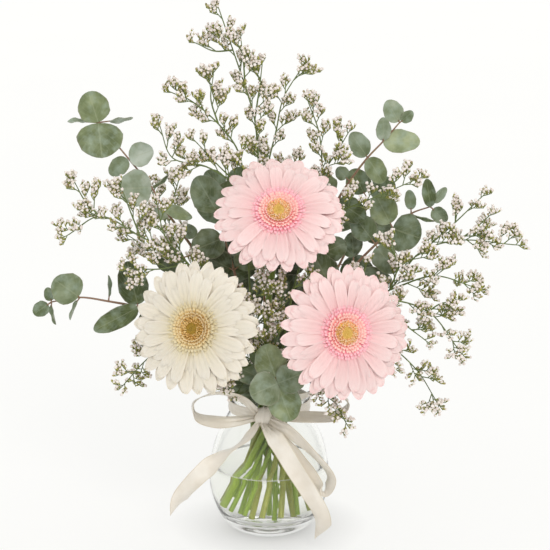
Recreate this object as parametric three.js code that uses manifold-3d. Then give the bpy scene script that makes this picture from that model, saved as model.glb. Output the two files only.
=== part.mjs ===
// Three gerberas, eucalyptus and sea lavender in a round glass vase with a ribbon bow.
// Millimetres, +Z up. The origin is the middle of the vase's foot, and the front faces -Y.
import * as THREE from 'three';
import { mergeVertices } from 'three/addons/utils/BufferGeometryUtils.js';
import Module from 'manifold-3d';

const wasm = await Module();
wasm.setup();

// Vase: radius and height along its outside and its inside, from the foot to the rim
const vaseOutside = [
  [31, 0], [38, 5], [44, 14], [49.5, 28], [52, 43], [50.3, 64], [45.5, 82], [38, 97],
  [34, 106], [33.4, 112], [35.8, 120], [38.4, 126],
];
const vaseInside = [
  [0, 9], [18, 9.6], [31, 12.5], [40.5, 19], [46.8, 29.5], [49.3, 43], [47.5, 63], [42.8, 80.5],
  [35.4, 95], [31.2, 105.5], [30.8, 112], [33.6, 120], [36, 125.6],
];
const rimTop = [37.3, 127];
const turnSteps = 22;
const waterLevel = 57;
const clearance = 0.4;

// Bundle: the straight lower stems cross in a spiral, tightest at the waist in the vase's neck
const waistHeight = 88;
const rimHeight = 126;
const bundle = {
  centre: { radius: 0, count: 1, slope: 0, turn: 0, foot: 12 },
  inner: { radius: 6.8, count: 7, slope: 0.27, turn: -162, foot: 13 },
  outer: { radius: 13.5, count: 14, slope: 0.47, turn: -110, foot: 20 },
};

// Gerberas: middle of the petals, the way they face, the reach of the petals and the stem's bends
const gerberas = [
  {
    name: 'pink_top',
    petalColour: '#f6cfd0',
    eyeColour: '#d9b83c',
    centre: [8, -45, 290],
    facing: [0, -0.743, 0.669],
    reach: 51.5,
    ring: 'inner',
    slot: 0,
    bends: [[-2, -15, 190], [4, -14, 240], [7, -19, 262]],
  },
  {
    name: 'cream_left',
    petalColour: '#efe8d3',
    eyeColour: '#b8923a',
    centre: [-61, -72, 199],
    facing: [-0.35, -0.9, 0.27],
    reach: 53.5,
    ring: 'outer',
    slot: 11,
    bends: [[-31, -25, 156], [-45, -34, 181], [-52, -48, 192]],
  },
  {
    name: 'pink_right',
    petalColour: '#f6cfd0',
    eyeColour: '#d9b83c',
    centre: [62, -78, 197],
    facing: [0.31, -0.91, 0.27],
    reach: 53.5,
    ring: 'outer',
    slot: 0,
    bends: [[27, -25, 155], [43, -35, 181], [51, -50, 190]],
  },
];
const gerberaStem = [3, 2.7];

// A head's parts, measured from the middle of its petals along the way that it faces
const core = { radius: 12.5, back: -1, front: 3.7 };
const petalLayers = [
  { count: 17, start: 0, root: 9, short: 9, width: 13.4, height: -0.4, slope: -0.05 },
  { count: 13, start: 0.5, root: 9, short: 15.5, width: 13.4, height: 1.8, slope: 0.05 },
];
const petalShape = { points: 7, edge: 0.8, middle: 1.1, crease: 0.6, bow: 2.4, narrow: 0.62 };
const ringFloret = {
  count: 12, start: 0.25, root: 10.6, height: 3.4, slope: 0.75, length: 11.5, radius: 1.4,
};
const eyeProfile = [[0, 4], [8.6, 4], [8.8, 5.4], [7, 7.2], [3.6, 6.6], [0, 6.2]];
const eyeBump = 0.35;
const cupProfile = [[0, -16], [3.4, -16], [7, -13], [10.4, -8], [11.6, -1.5], [0, -1.5]];
const stemEnd = -13;

// Eucalyptus: the stem's path above the rim, and at each of its points the leaves that grow there,
// as middle of the blade, length, width and turn about its own length in degrees
const eucalyptus = [
  {
    name: 'eucalyptus_upper_left', ring: 'outer', slot: 8,
    path: [
      [-36, 10, 180], [-62, 4, 243], [-75, 0, 264], [-90, 0, 286],
      [-99, 3, 301], [-118, 9, 324], [-144, 20, 353],
    ],
    leaves: [
      [1, [-84, -12, 240], 26, 24, 10], [2, [-66, -8, 266], 17, 14, 20],
      [3, [-76, -6, 282], 28, 12, 25], [3, [-96, 16, 276], 24, 20, -30],
      [4, [-111, 0, 301], 31, 31, 0], [4, [-92, 8, 306], 18, 6, 70],
      [5, [-107, 8, 328], 22, 21, -10], [5, [-126, 8, 317], 20, 16, 15],
      [6, [-148, 22, 366], 27, 27, 5], [6, [-142, 12, 339], 31, 39, -10],
      [6, [-162, 24, 352], 17, 9, 60], [6, [-125, 24, 356], 20, 8, 65],
    ],
  },
  {
    name: 'eucalyptus_left', ring: 'outer', slot: 9,
    path: [
      [-47, -3, 163], [-72, -10, 188], [-111, -10, 200],
      [-136, -10, 205], [-160, -12, 209], [-184, -12, 205],
    ],
    leaves: [
      [2, [-116, -6, 220], 38, 26, 15], [2, [-103, -2, 184], 26, 20, -20],
      [2, [-130, -14, 191], 42, 19, -20], [3, [-136, -12, 219], 20, 5, 60],
      [4, [-171, -17, 219], 28, 28, 0], [4, [-165, -10, 197], 20, 6, 60],
      [5, [-193, -13, 199], 15, 13, 0], [5, [-186, -12, 212], 12, 9, 10], [5, [-182, -12, 194], 18, 6, 55],
    ],
  },
  {
    name: 'eucalyptus_upper_right', ring: 'inner', slot: 2,
    path: [
      [22, 4, 180], [40, 10, 240], [58, 10, 288], [68, 12, 304],
      [83, 14, 324], [96, 18, 337], [110, 20, 353],
    ],
    leaves: [
      [1, [55, 8, 247], 24, 22, 0], [2, [70, 8, 280], 28, 21, 10], [2, [48, 22, 300], 22, 18, 20],
      [3, [61, 10, 312], 13, 12, 0], [4, [75, 12, 336], 25, 18, 10], [4, [90, 14, 313], 25, 18, -10],
      [5, [96, 18, 348], 20, 13, 10], [5, [111, 18, 337], 33, 21, -15],
      [6, [104, 20, 363], 21, 17, 0], [6, [116, 22, 358], 13, 10, 20],
    ],
  },
  {
    name: 'eucalyptus_right', ring: 'outer', slot: 3,
    path: [
      [40, 6, 162], [58, 2, 204], [72, 0, 232], [90, 0, 252],
      [105, 4, 265], [120, 4, 278], [136, 4, 284],
    ],
    leaves: [
      [1, [45, 4, 229], 30, 27, 0], [2, [92, -4, 226], 26, 15, 20], [2, [72, 14, 248], 24, 20, -30],
      [3, [99, -8, 241], 28, 22, 10],
      [3, [80, 10, 264], 26, 22, 0], [4, [115, -4, 263], 33, 33, 0], [4, [97, 12, 280], 28, 24, -10],
      [5, [119, 8, 289], 17, 10, 10], [5, [131, 0, 276], 20, 5, 60],
      [6, [134, 4, 296], 25, 12, 10], [6, [144, 8, 293], 17, 8, 10], [6, [144, 2, 277], 16, 13, 10],
    ],
  },
  {
    name: 'eucalyptus_front', ring: 'outer', slot: 13,
    path: [[4, -36, 139], [5, -50, 146], [7, -66, 150]],
    leaves: [
      [0, [-20, -41, 153], 26, 20, 10], [0, [-26, -37, 140], 22, 17, 0],
      [2, [-3, -71, 147], 29, 29, 0], [2, [19, -69, 156], 26, 25, 0],
      [2, [1, -63, 168], 30, 27, 0], [2, [13, -67, 133], 32, 28, 0],
    ],
  },
  {
    name: 'eucalyptus_inner_left', ring: 'inner', slot: 5,
    path: [[-19, 8, 180], [-30, 6, 228], [-38, 8, 256], [-44, 10, 278]],
    leaves: [
      [1, [-44, 2, 236], 26, 22, 0], [1, [-18, 6, 240], 26, 22, 20], [2, [-52, 0, 252], 30, 27, 10],
      [2, [-30, 22, 264], 24, 20, 20], [3, [-53, 10, 294], 34, 28, 0], [3, [-34, 14, 292], 28, 24, 10],
    ],
  },
  {
    name: 'eucalyptus_back_right', ring: 'outer', slot: 4,
    path: [[38, 40, 178], [62, 60, 220], [80, 70, 255], [88, 74, 272]],
    leaves: [
      [1, [78, 58, 212], 32, 30, 180], [2, [64, 76, 262], 32, 30, 180],
      [2, [96, 70, 248], 28, 26, 170], [3, [78, 79, 290], 24, 22, 180], [3, [100, 75, 284], 24, 22, 180],
    ],
  },
  {
    name: 'eucalyptus_back_left', ring: 'outer', slot: 6,
    path: [[-15, 46, 175], [-26, 64, 220], [-34, 74, 262], [-37, 77, 275]],
    leaves: [
      [1, [-42, 66, 214], 30, 28, 170], [2, [-50, 76, 268], 30, 28, 180],
      [2, [-18, 78, 266], 28, 26, 190], [3, [-49, 82, 290], 22, 20, 180], [3, [-27, 82, 292], 22, 20, 180],
    ],
  },
  {
    name: 'eucalyptus_back_top', ring: 'inner', slot: 4,
    path: [[-3.5, 17, 156], [-4, 24, 190], [-5, 29, 222], [-6, 36, 250], [-9, 41, 276]],
    leaves: [
      [0, [-22, 17, 166], 30, 27, 0], [0, [14, 19, 166], 30, 27, 0], [1, [-24, 26, 200], 38, 35, 0],
      [1, [17, 25, 202], 38, 35, 0], [2, [-26, 32, 232], 38, 36, 0], [2, [16, 33, 236], 40, 40, 0],
      [3, [10, 42, 256], 28, 25, 180], [4, [-20, 46, 290], 20, 18, 180], [4, [2, 47, 292], 20, 18, 180],
    ],
  },
];
const eucalyptusStem = [2.3, 0.9];
const leafShape = { points: 7, edge: 0.7, middle: 1.1, crease: 1.4, bow: 0.4 };

// Sea lavender: the main stem above the rim, the share of it that is bare, and forks,
// each with the main stem's point that it grows from
const lavender = [
  {
    name: 'lavender_top', ring: 'centre', slot: 0, bare: 0.66,
    path: [
      [0, 4, 200], [-4, 8, 270], [-9, 10, 325], [-12, 12, 357],
      [-20, 14, 385], [-30, 15, 415], [-41, 15, 448],
    ],
    forks: [
      [3, [[-8, 17, 383], [-6, 19, 400]]],
      [1, [[-2, 20, 310], [6, 27, 345], [12, 29, 372], [27, 31, 397]]],
      [5, [[-46, 17, 414], [-60, 18, 420]]],
      [4, [[-21, 10, 403], [-23, 6, 424]]],
    ],
  },
  {
    name: 'lavender_upper_right', ring: 'inner', slot: 3, bare: 0.68,
    path: [[17, 14, 190], [34, 14, 262], [44, 6, 312], [42, 5, 346], [33, 8, 372]],
    forks: [
      [2, [[56, 2, 330], [65, 0, 346]]],
      [1, [[57, -6, 281], [88, -14, 296], [122, -14, 311]]],
    ],
  },
  {
    name: 'lavender_upper_left', ring: 'inner', slot: 6, bare: 0.72,
    path: [
      [-15, -5, 190], [-18, -2, 250], [-20, -4, 300], [-26, -6, 334],
      [-42, -8, 357], [-65, -10, 377], [-79, -10, 383],
    ],
    forks: [
      [2, [[-52, -14, 322], [-80, -16, 330], [-90, -17, 357]]],
      [4, [[-48, -8, 378], [-46, -8, 396]]],
      [2, [[-38, -10, 318], [-60, -12, 342]]],
    ],
  },
  {
    name: 'lavender_left', ring: 'outer', slot: 10, bare: 0.5,
    path: [
      [-35, -16, 158], [-50, -21, 200], [-68, -24, 242],
      [-107, -28, 266], [-140, -28, 283], [-166, -30, 268],
    ],
    forks: [
      [0, [[-60, -32, 170], [-89, -40, 173], [-104, -43, 162], [-120, -44, 144]]],
      [4, [[-152, -28, 296], [-160, -27, 311]]],
      [3, [[-114, -30, 286], [-121, -30, 306]]],
      [2, [[-86, -30, 266], [-92, -32, 292]]],
      [2, [[-90, -32, 239], [-115, -34, 240]]],
    ],
  },
  {
    name: 'lavender_right', ring: 'outer', slot: 2, bare: 0.48,
    path: [
      [42, -8, 158], [68, -18, 190], [101, -28, 220],
      [126, -27, 252], [158, -26, 262], [204, -25, 258],
    ],
    forks: [
      [3, [[150, -23, 272], [175, -20, 296]]],
      [2, [[138, -32, 233], [172, -32, 223]]],
      [4, [[172, -23, 272], [181, -22, 280]]],
      [1, [[74, -30, 214], [80, -34, 240]]],
      [2, [[106, -36, 240], [102, -38, 262]]],
    ],
  },
  {
    name: 'lavender_lower_right', ring: 'outer', slot: 1, bare: 0.5,
    path: [[38, -18, 152], [62, -30, 188], [96, -42, 214], [132, -46, 206], [158, -50, 174]],
    forks: [
      [0, [[72, -38, 168], [98, -46, 176], [122, -50, 158], [140, -52, 130]]],
      [2, [[112, -46, 196], [128, -50, 184]]],
      [3, [[141, -48, 213], [151, -49, 216]]],
    ],
  },
  {
    name: 'lavender_low_front', ring: 'inner', slot: 1, bare: 0.66,
    path: [[10, -25, 136], [20, -42, 148], [38, -60, 150], [52, -70, 140], [62, -75, 122]],
    forks: [],
  },
  {
    name: 'lavender_middle', ring: 'outer', slot: 12, bare: 0.48,
    path: [[-9, -34, 158], [-13, -44, 192], [-16, -50, 218], [-6, -50, 240]],
    forks: [
      [0, [[-20, -48, 168], [-30, -56, 178]]],
      [1, [[8, -50, 216], [30, -52, 236]]],
      [0, [[-24, -46, 156], [-42, -56, 148]]],
    ],
  },
  {
    name: 'lavender_back_right', ring: 'outer', slot: 5, bare: 0.52,
    path: [[8, 50, 186], [12, 72, 240], [17, 82, 280], [22, 88, 306]],
    forks: [
      [1, [[32, 80, 266], [46, 86, 284]]],
      [2, [[5, 88, 300], [-3, 91, 316]]],
    ],
  },
  {
    name: 'lavender_back_left', ring: 'outer', slot: 7, bare: 0.5,
    path: [[-42, 42, 174], [-70, 60, 216], [-92, 70, 256], [-104, 75, 284]],
    forks: [
      [1, [[-98, 64, 228], [-124, 66, 244]]],
      [2, [[-84, 76, 276], [-80, 79, 290]]],
    ],
  },
];
const lavenderStem = [1.8, 0.7];
const forkStem = [1, 0.7];
const forkBare = 0.2;
const twigSpacing = 25;
const twigReach = [14, 9];
const twigSwell = 2.5;
const endTwig = 8;
const leafClear = 0.6;
const twigClear = 1.2;

// Ribbon: widths and the middle lines of its loops and tails, each with the way its width lies
const ribbonThick = 0.9;
const ribbonWidth = 15.5;
const knotMiddle = [-5, -40.6, 113];
const knotHalf = [7, 5.4, 8];
const bandHeights = [107, 117];
const bandGap = 0.8;
const bandThick = 1.4;
const loopSteps = 12;
const tailSteps = 8;
const ribbonStrips = [
  {
    loop: true,
    line: [
      [-9.5, -42, 116], [-24, -48, 131], [-46, -54, 137], [-63, -57, 131],
      [-62, -57, 119], [-40, -49, 111], [-10, -41, 111.5],
    ],
    across: [
      [0, -0.3, 1], [0.2, -0.8, 0.6], [0.1, -0.9, 0.45], [0, -1, 0.1],
      [0, -0.95, -0.2], [0, -0.9, -0.4], [0, -0.4, -0.8],
    ],
  },
  {
    loop: true,
    line: [
      [-1, -41, 118], [16, -46, 129], [46, -50, 137], [66, -52, 129],
      [58, -52, 117], [30, -47, 114], [0.5, -39.5, 114.5],
    ],
    across: [
      [0, -0.3, 1], [-0.2, -0.8, 0.6], [0, -0.9, 0.45], [0, -1, 0.1],
      [0, -0.95, -0.2], [0, -0.9, -0.4], [0, -0.4, -0.8],
    ],
  },
  {
    loop: true,
    line: [
      [0.5, -44, 111], [14, -54, 106], [36, -63, 88], [52, -65, 66],
      [46, -61, 53], [29, -53, 70], [12, -49, 92], [-2.5, -42, 107.5],
    ],
    across: [
      [0.5, -0.2, 0.8], [0.5, -0.5, 0.6], [0.4, -0.8, 0.4], [0.4, -0.9, 0.3],
      [0.5, -0.8, 0.3], [0.8, -0.2, 0.5], [0.8, -0.2, 0.5], [0.8, -0.2, 0.3],
    ],
  },
  {
    loop: false,
    line: [
      [-9, -43.5, 109], [-18, -52, 99], [-40, -55, 82],
      [-62, -54, 62], [-75, -52, 44], [-79, -50, 29],
    ],
    across: [
      [0.8, 0.1, 0.6], [0.8, -0.1, 0.6], [0.8, -0.1, 0.6],
      [0.7, 0, 0.4], [0.8, 0.3, 0.1], [0.6, 0.8, 0],
    ],
  },
  {
    loop: false,
    line: [
      [-5.5, -44.5, 108], [5, -55, 98], [19, -63, 78],
      [34, -67, 54], [45, -68, 30], [43, -68, 10],
    ],
    across: [
      [0.8, -0.1, -0.3], [0.9, -0.1, 0.3], [0.9, -0.2, 0.4],
      [0.9, -0.2, 0.3], [0.8, -0.5, 0.1], [0.5, -0.8, 0],
    ],
  },
];

const vector = (list) => new THREE.Vector3(...list);
const viewSide = new THREE.Vector3(0, -0.97, 0.25);
const ahead = new THREE.Vector3(0, 0, 1);
const outline = (list) => list.map(([r, z]) => new THREE.Vector2(r, z));

// Even, repeatable draws between 0 and 1
function draws(seed) {
  let state = seed;
  return () => {
    state = (state * 16807) % 2147483647;
    return state / 2147483647;
  };
}

// A closed geometry as a solid, with its doubled points merged and its flat triangles dropped
function solidOf(geometry) {
  const shape = geometry.clone();
  shape.deleteAttribute('normal');
  shape.deleteAttribute('uv');
  const merged = mergeVertices(shape, 1e-3);
  const index = merged.index.array;
  const kept = [];
  for (let i = 0; i < index.length; i += 3) {
    const [a, b, c] = [index[i], index[i + 1], index[i + 2]];
    if (a !== b && b !== c && a !== c) kept.push(a, b, c);
  }
  return new wasm.Manifold(new wasm.Mesh({
    numProp: 3,
    vertProperties: new Float32Array(merged.attributes.position.array),
    triVerts: new Uint32Array(kept),
  }));
}

function joined(solids) {
  let layer = solids;
  while (layer.length > 1) {
    const next = [];
    for (let i = 0; i < layer.length; i += 2) {
      next.push(i + 1 < layer.length ? layer[i].add(layer[i + 1]) : layer[i]);
    }
    layer = next;
  }
  return layer[0];
}

function moveVertices(geometry, place) {
  const position = geometry.attributes.position;
  const point = new THREE.Vector3();
  for (let i = 0; i < position.count; i += 1) {
    point.fromBufferAttribute(position, i);
    place(point);
    position.setXYZ(i, point.x, point.y, point.z);
  }
  return geometry;
}

// A round stem through the points of a path, narrower towards its tip
function stalk(path, radii, sides, grow = 0) {
  const steps = path.length - 1;
  const curve = new THREE.CatmullRomCurve3(path);
  const normal = new THREE.Vector3(0.8, 0.6, 0);
  const rings = path.map((middle, step) => {
    const tangent = curve.getTangent(step / steps);
    normal.addScaledVector(tangent, -normal.dot(tangent)).normalize();
    return { middle, tangent, normal: normal.clone(), side: normal.clone().cross(tangent) };
  });
  const geometry = new THREE.CylinderGeometry(1, 1, 1, sides, steps);
  return solidOf(moveVertices(geometry, (point) => {
    const share = point.y + 0.5;
    const step = Math.round(share * steps);
    const { middle, tangent, normal: out, side } = rings[step];
    const radius = radii[0] + (radii[1] - radii[0]) * share + grow;
    const { x, z } = point;
    point.copy(middle).addScaledVector(out, x * radius).addScaledVector(side, z * radius)
      .addScaledVector(tangent, step === 0 ? -grow : 0);
  }));
}

// A thin blade from its root along +Y, creased along its middle: a disc drawn out to the outline
function blade({ length, width, points, edge, middle, crease, bow, narrow }) {
  const geometry = new THREE.CylinderGeometry(1, 1, 1, points, 1);
  return moveVertices(geometry, (point) => {
    const onEdge = Math.hypot(point.x, point.z) > 0.5;
    const along = onEdge ? (1 - point.z) / 2 : 0.5;
    const side = onEdge ? point.x * (1 - narrow + 1.4 * narrow * along) : 0;
    const thick = onEdge ? edge : middle;
    const rise = onEdge ? crease * Math.abs(side) : bow;
    point.set(side * width / 2, along * length, point.y * thick + rise);
  });
}

// Turns a blade to grow from root towards tip, with its face to the front, rolled about its length
function place(geometry, root, direction, face, roll) {
  const along = direction.clone().normalize();
  const normal = face.clone().addScaledVector(along, -face.dot(along)).normalize();
  normal.applyAxisAngle(along, THREE.MathUtils.degToRad(roll));
  const across = along.clone().cross(normal);
  const matrix = new THREE.Matrix4().makeBasis(across, along, normal).setPosition(root);
  return geometry.applyMatrix4(matrix);
}

// Sets one of a ring's pieces at its place about the head's axis, growing outward
function placeRound(geometry, { count, start, root, height, slope }, i) {
  const angle = 2 * Math.PI * (i + start) / count;
  const outward = new THREE.Vector3(Math.cos(angle), Math.sin(angle), slope);
  const foot = new THREE.Vector3(Math.cos(angle) * root, Math.sin(angle) * root, height);
  return place(geometry, foot, outward, ahead, 0);
}

// A point of a bundled stem's straight part, at a height
function bundlePoint(ring, slot, height) {
  const { radius, count, slope, turn } = bundle[ring];
  const angle = THREE.MathUtils.degToRad(turn + slot * 360 / count);
  const side = slope * (height - waistHeight);
  return new THREE.Vector3(
    radius * Math.cos(angle) - side * Math.sin(angle),
    radius * Math.sin(angle) + side * Math.cos(angle),
    height,
  );
}

// The whole stem: its straight part through the bundle, then its own way above the rim
function stemPath({ ring, slot }, path) {
  const heights = [bundle[ring].foot, waistHeight, rimHeight];
  return [...heights.map((height) => bundlePoint(ring, slot, height)), ...path.map(vector)];
}

// Points along a spline of radius and height
function profile(list, divisions) {
  return new THREE.SplineCurve(outline(list)).getPoints(divisions);
}

function turned(points) {
  const geometry = new THREE.LatheGeometry(points, turnSteps);
  geometry.rotateX(Math.PI / 2);
  return solidOf(geometry);
}

const outside = profile(vaseOutside, 11);
const inside = profile(vaseInside, 10);

function vase() {
  return turned([...outline([[0, 0]]), ...outside, ...outline([rimTop]), ...inside.slice().reverse()]);
}

// The water fills the vase to its level and has a plain hole for each stem
function water(stems) {
  const under = inside.filter((point) => point.y < waterLevel - 2);
  const [low, high] = [inside[under.length - 1], inside[under.length]];
  const share = (waterLevel - low.y) / (high.y - low.y);
  const edge = new THREE.Vector2(low.x + (high.x - low.x) * share - clearance, waterLevel);
  const inset = ({ x, y }) => new THREE.Vector2(Math.max(x - clearance, 0), y + clearance);
  let body = turned([...under.map(inset), edge, new THREE.Vector2(0, waterLevel)]);
  for (const stem of stems) body = body.subtract(stem);
  return body;
}

// A box's lower squares, cut along the same diagonals as its upper ones, so that a twisted strip stays thick
function alikeDiagonals(geometry) {
  const index = geometry.index.array;
  const lower = geometry.groups[3];
  for (let i = lower.start; i < lower.start + lower.count; i += 6) {
    const [a, b, d, , c] = index.slice(i, i + 6);
    index.set([a, b, c, a, c, d], i);
  }
  return geometry;
}

// A flat strip along a line, its width turned by the vectors given beside the line
function strip({ loop, line, across }) {
  const curve = new THREE.CatmullRomCurve3(line.map(vector));
  const sides = new THREE.CatmullRomCurve3(across.map(vector));
  const geometry = new THREE.BoxGeometry(ribbonWidth, ribbonThick, 1, 1, 1, loop ? loopSteps : tailSteps);
  return solidOf(moveVertices(alikeDiagonals(geometry), (point) => {
    const share = point.z + 0.5;
    const tangent = curve.getTangent(share);
    const wide = sides.getPoint(share).normalize();
    wide.addScaledVector(tangent, -wide.dot(tangent)).normalize();
    const pinch = Math.min(1, 0.2 + 4 * Math.min(share, loop ? 1 - share : 1));
    const { x, y } = point;
    point.copy(curve.getPoint(share)).addScaledVector(wide, x * pinch)
      .addScaledVector(tangent.clone().cross(wide), y);
  }));
}

// A band round the neck, the knot in front of it, and the loops and tails that start in the knot
function ribbon() {
  const fit = bandHeights.map((z) => {
    const i = outside.findIndex((point) => point.y > z);
    const share = (z - outside[i - 1].y) / (outside[i].y - outside[i - 1].y);
    return new THREE.Vector2(outside[i - 1].x + (outside[i].x - outside[i - 1].x) * share, z);
  });
  const inner = fit.map((point) => new THREE.Vector2(point.x + bandGap, point.y));
  const outer = inner.map((point) => new THREE.Vector2(point.x + bandThick, point.y)).reverse();
  const band = turned([...inner, ...outer, inner[0]].reverse());
  const ball = new THREE.SphereGeometry(1, 8, 5);
  ball.scale(...knotHalf);
  ball.translate(...knotMiddle);
  return joined([band, solidOf(ball), ...ribbonStrips.map(strip)]);
}

// The head's own frame: +Z is the way that the flower faces
function headMatrix({ centre, facing }) {
  const normal = vector(facing).normalize();
  const across = ahead.clone().cross(normal).normalize();
  const upward = normal.clone().cross(across);
  return new THREE.Matrix4().makeBasis(across, upward, normal).setPosition(vector(centre));
}

// One head: a flat core, two layers of petals rooted in it and a ring of long narrow florets
function petals({ reach }, matrix, random) {
  const disc = new THREE.CylinderGeometry(core.radius, core.radius, core.front - core.back, 14);
  disc.rotateX(Math.PI / 2);
  disc.translate(0, 0, (core.front + core.back) / 2);
  const pieces = [disc];
  for (const layer of petalLayers) {
    for (let i = 0; i < layer.count; i += 1) {
      const size = (reach - layer.short) * (0.96 + 0.08 * random());
      const shape = blade({ ...petalShape, length: size, width: layer.width });
      pieces.push(placeRound(shape, layer, i));
    }
  }
  for (let i = 0; i < ringFloret.count; i += 1) {
    const floret = new THREE.ConeGeometry(ringFloret.radius, ringFloret.length, 3);
    floret.translate(0, ringFloret.length / 2, 0);
    pieces.push(placeRound(floret, ringFloret, i));
  }
  return joined(pieces.map((piece) => solidOf(piece.applyMatrix4(matrix))));
}

// The eye: a low dome whose skin is raised in bumps by a formula
function eye(matrix) {
  const dome = new THREE.LatheGeometry(outline(eyeProfile), 16);
  dome.rotateX(Math.PI / 2);
  moveVertices(dome, (point) => {
    const angle = Math.atan2(point.y, point.x);
    const radius = Math.hypot(point.x, point.y);
    if (point.z > 6.3 && radius > 0.1) point.z += eyeBump * Math.cos(8 * angle + radius);
  });
  return solidOf(dome.applyMatrix4(matrix));
}

// The green cup under the petals and the stem that carries it
function gerberaStalk(flower, matrix) {
  const cup = new THREE.LatheGeometry(outline(cupProfile), 12);
  cup.rotateX(Math.PI / 2);
  const end = new THREE.Vector3(0, 0, stemEnd).applyMatrix4(matrix).toArray();
  const path = stemPath(flower, [...flower.bends, end]);
  return { path, solid: joined([stalk(path, gerberaStem, 6), solidOf(cup.applyMatrix4(matrix))]) };
}

// A leaf grows from its node through the middle given for its blade
function eucalyptusLeaf(node, [, middleOf, length, width, roll], grow = 0) {
  const direction = vector(middleOf).sub(node);
  const reach = direction.length() + length / 2 + grow;
  const shape = blade({
    ...leafShape,
    length: reach,
    width: width + grow,
    edge: leafShape.edge + grow,
    middle: leafShape.middle + grow,
    narrow: reach > length + 2 ? 0.3 : -0.05,
  });
  return solidOf(place(shape, node, direction, viewSide, roll));
}

// True where a solid meets nothing of the other plants, the vase or the ribbon
function growsClear(solid, owner, others) {
  const box = solid.boundingBox();
  return others.every((other) => {
    if (other.owner === owner) return true;
    const near = other.solid.boundingBox();
    const apart = [0, 1, 2].some((k) => near.min[k] > box.max[k] || near.max[k] < box.min[k]);
    return apart || other.solid.intersect(solid).isEmpty();
  });
}

// Side twigs of a sea lavender branch: they alternate, and shorten towards the branch's tip
function twigsOf(path, from, random) {
  const lengths = path.slice(1).map((point, i) => point.distanceTo(path[i]));
  const whole = lengths.reduce((sum, length) => sum + length, 0);
  const list = [];
  let side = 1;
  for (let at = from * whole; at < whole - 4; at += twigSpacing) {
    let span = 0;
    let rest = at;
    while (rest > lengths[span]) {
      rest -= lengths[span];
      span += 1;
    }
    const tangent = path[span + 1].clone().sub(path[span]).normalize();
    const lateral = tangent.clone().cross(viewSide).normalize();
    lateral.applyAxisAngle(tangent, (random() - 0.5) * 1.8);
    const direction = tangent.clone().multiplyScalar(0.65).addScaledVector(lateral, side * 0.8);
    direction.z += 0.2;
    const reach = (twigReach[0] + twigReach[1] * random()) * (1.25 - 0.5 * at / whole);
    const root = path[span].clone().addScaledVector(tangent, rest);
    list.push({ root, direction: direction.normalize(), reach });
    side = -side;
  }
  const [before, tip] = path.slice(-2);
  const onward = tip.clone().sub(before).normalize();
  list.push({ root: tip.clone().addScaledVector(onward, -1.5), direction: onward, reach: endTwig });
  return list;
}

// A twig swells where its florets sit
function twig({ root, direction, reach }) {
  const shape = new THREE.ConeGeometry(1, 1, 3, 2);
  moveVertices(shape, (point) => {
    const level = Math.round((point.y + 0.5) * 2);
    const radius = Math.hypot(point.x, point.z) || 1;
    const swell = [0.3, twigSwell, 0][level] / radius;
    point.set(point.x * swell, [0, 0.6, 1][level] * reach, point.z * swell);
  });
  return solidOf(place(shape, root, direction, viewSide, 0));
}

// Room that a twig and its florets need, a little larger than they are
function twigRoom({ root, direction, reach }) {
  const room = new THREE.CylinderGeometry(twigSwell + 0.4, 1.6, reach, 5);
  room.translate(0, reach / 2 + twigClear, 0);
  return solidOf(place(room, root, direction, viewSide, 0));
}

const group = new THREE.Group();

function addMesh(name, solid, color, roughness, extra = {}) {
  const { vertProperties, triVerts } = solid.getMesh();
  const geometry = new THREE.BufferGeometry();
  geometry.setAttribute('position', new THREE.BufferAttribute(new Float32Array(vertProperties), 3));
  geometry.setIndex(new THREE.BufferAttribute(new Uint32Array(triVerts), 1));
  geometry.computeVertexNormals();
  const material = new THREE.MeshStandardMaterial({ color, roughness, metalness: 0, ...extra });
  const mesh = new THREE.Mesh(geometry, material);
  mesh.name = name;
  group.add(mesh);
}

// Everything that a leaf or a twig has to stay clear of, with the plant that it belongs to
const others = [];
const holes = [];

const vaseSolid = vase();
const ribbonSolid = ribbon();
others.push({ owner: 'vase', solid: vaseSolid }, { owner: 'ribbon', solid: ribbonSolid });

for (const flower of gerberas) {
  const matrix = headMatrix(flower);
  const random = draws(211 + flower.slot);
  const { path, solid } = gerberaStalk(flower, matrix);
  flower.parts = { petals: petals(flower, matrix, random), eye: eye(matrix), stem: solid };
  holes.push(stalk(path, gerberaStem, 6, clearance));
  others.push({ owner: flower.name, solid: flower.parts.petals }, { owner: flower.name, solid });
}

for (const sprig of eucalyptus) {
  const path = stemPath(sprig, sprig.path);
  sprig.solid = stalk(path, eucalyptusStem, 4);
  holes.push(stalk(path, eucalyptusStem, 4, clearance));
  others.push({ owner: sprig.name, solid: sprig.solid });
}

for (const spray of lavender) {
  const main = stemPath(spray, spray.path);
  const forks = spray.forks.map(([from, points]) => [spray.path[from], ...points].map(vector));
  spray.branches = [[main, spray.bare], ...forks.map((fork) => [fork, forkBare])];
  spray.solid = joined([stalk(main, lavenderStem, 4), ...forks.map((fork) => stalk(fork, forkStem, 3))]);
  holes.push(stalk(main, lavenderStem, 4, clearance));
  others.push({ owner: spray.name, solid: spray.solid });
}

for (const sprig of eucalyptus) {
  const pieces = [sprig.solid];
  for (const leaf of sprig.leaves) {
    const node = vector(sprig.path[leaf[0]]);
    const room = eucalyptusLeaf(node, leaf, leafClear);
    if (growsClear(room, sprig.name, others)) pieces.push(eucalyptusLeaf(node, leaf));
  }
  sprig.solid = joined(pieces);
  others.push({ owner: sprig.name, solid: sprig.solid });
}

lavender.forEach((spray, order) => {
  const random = draws(977 + order);
  const pieces = [spray.solid];
  for (const [path, from] of spray.branches) {
    for (const one of twigsOf(path, from, random)) {
      if (growsClear(twigRoom(one), spray.name, others)) pieces.push(twig(one));
    }
  }
  spray.solid = joined(pieces);
  others.push({ owner: spray.name, solid: spray.solid });
});

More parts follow.
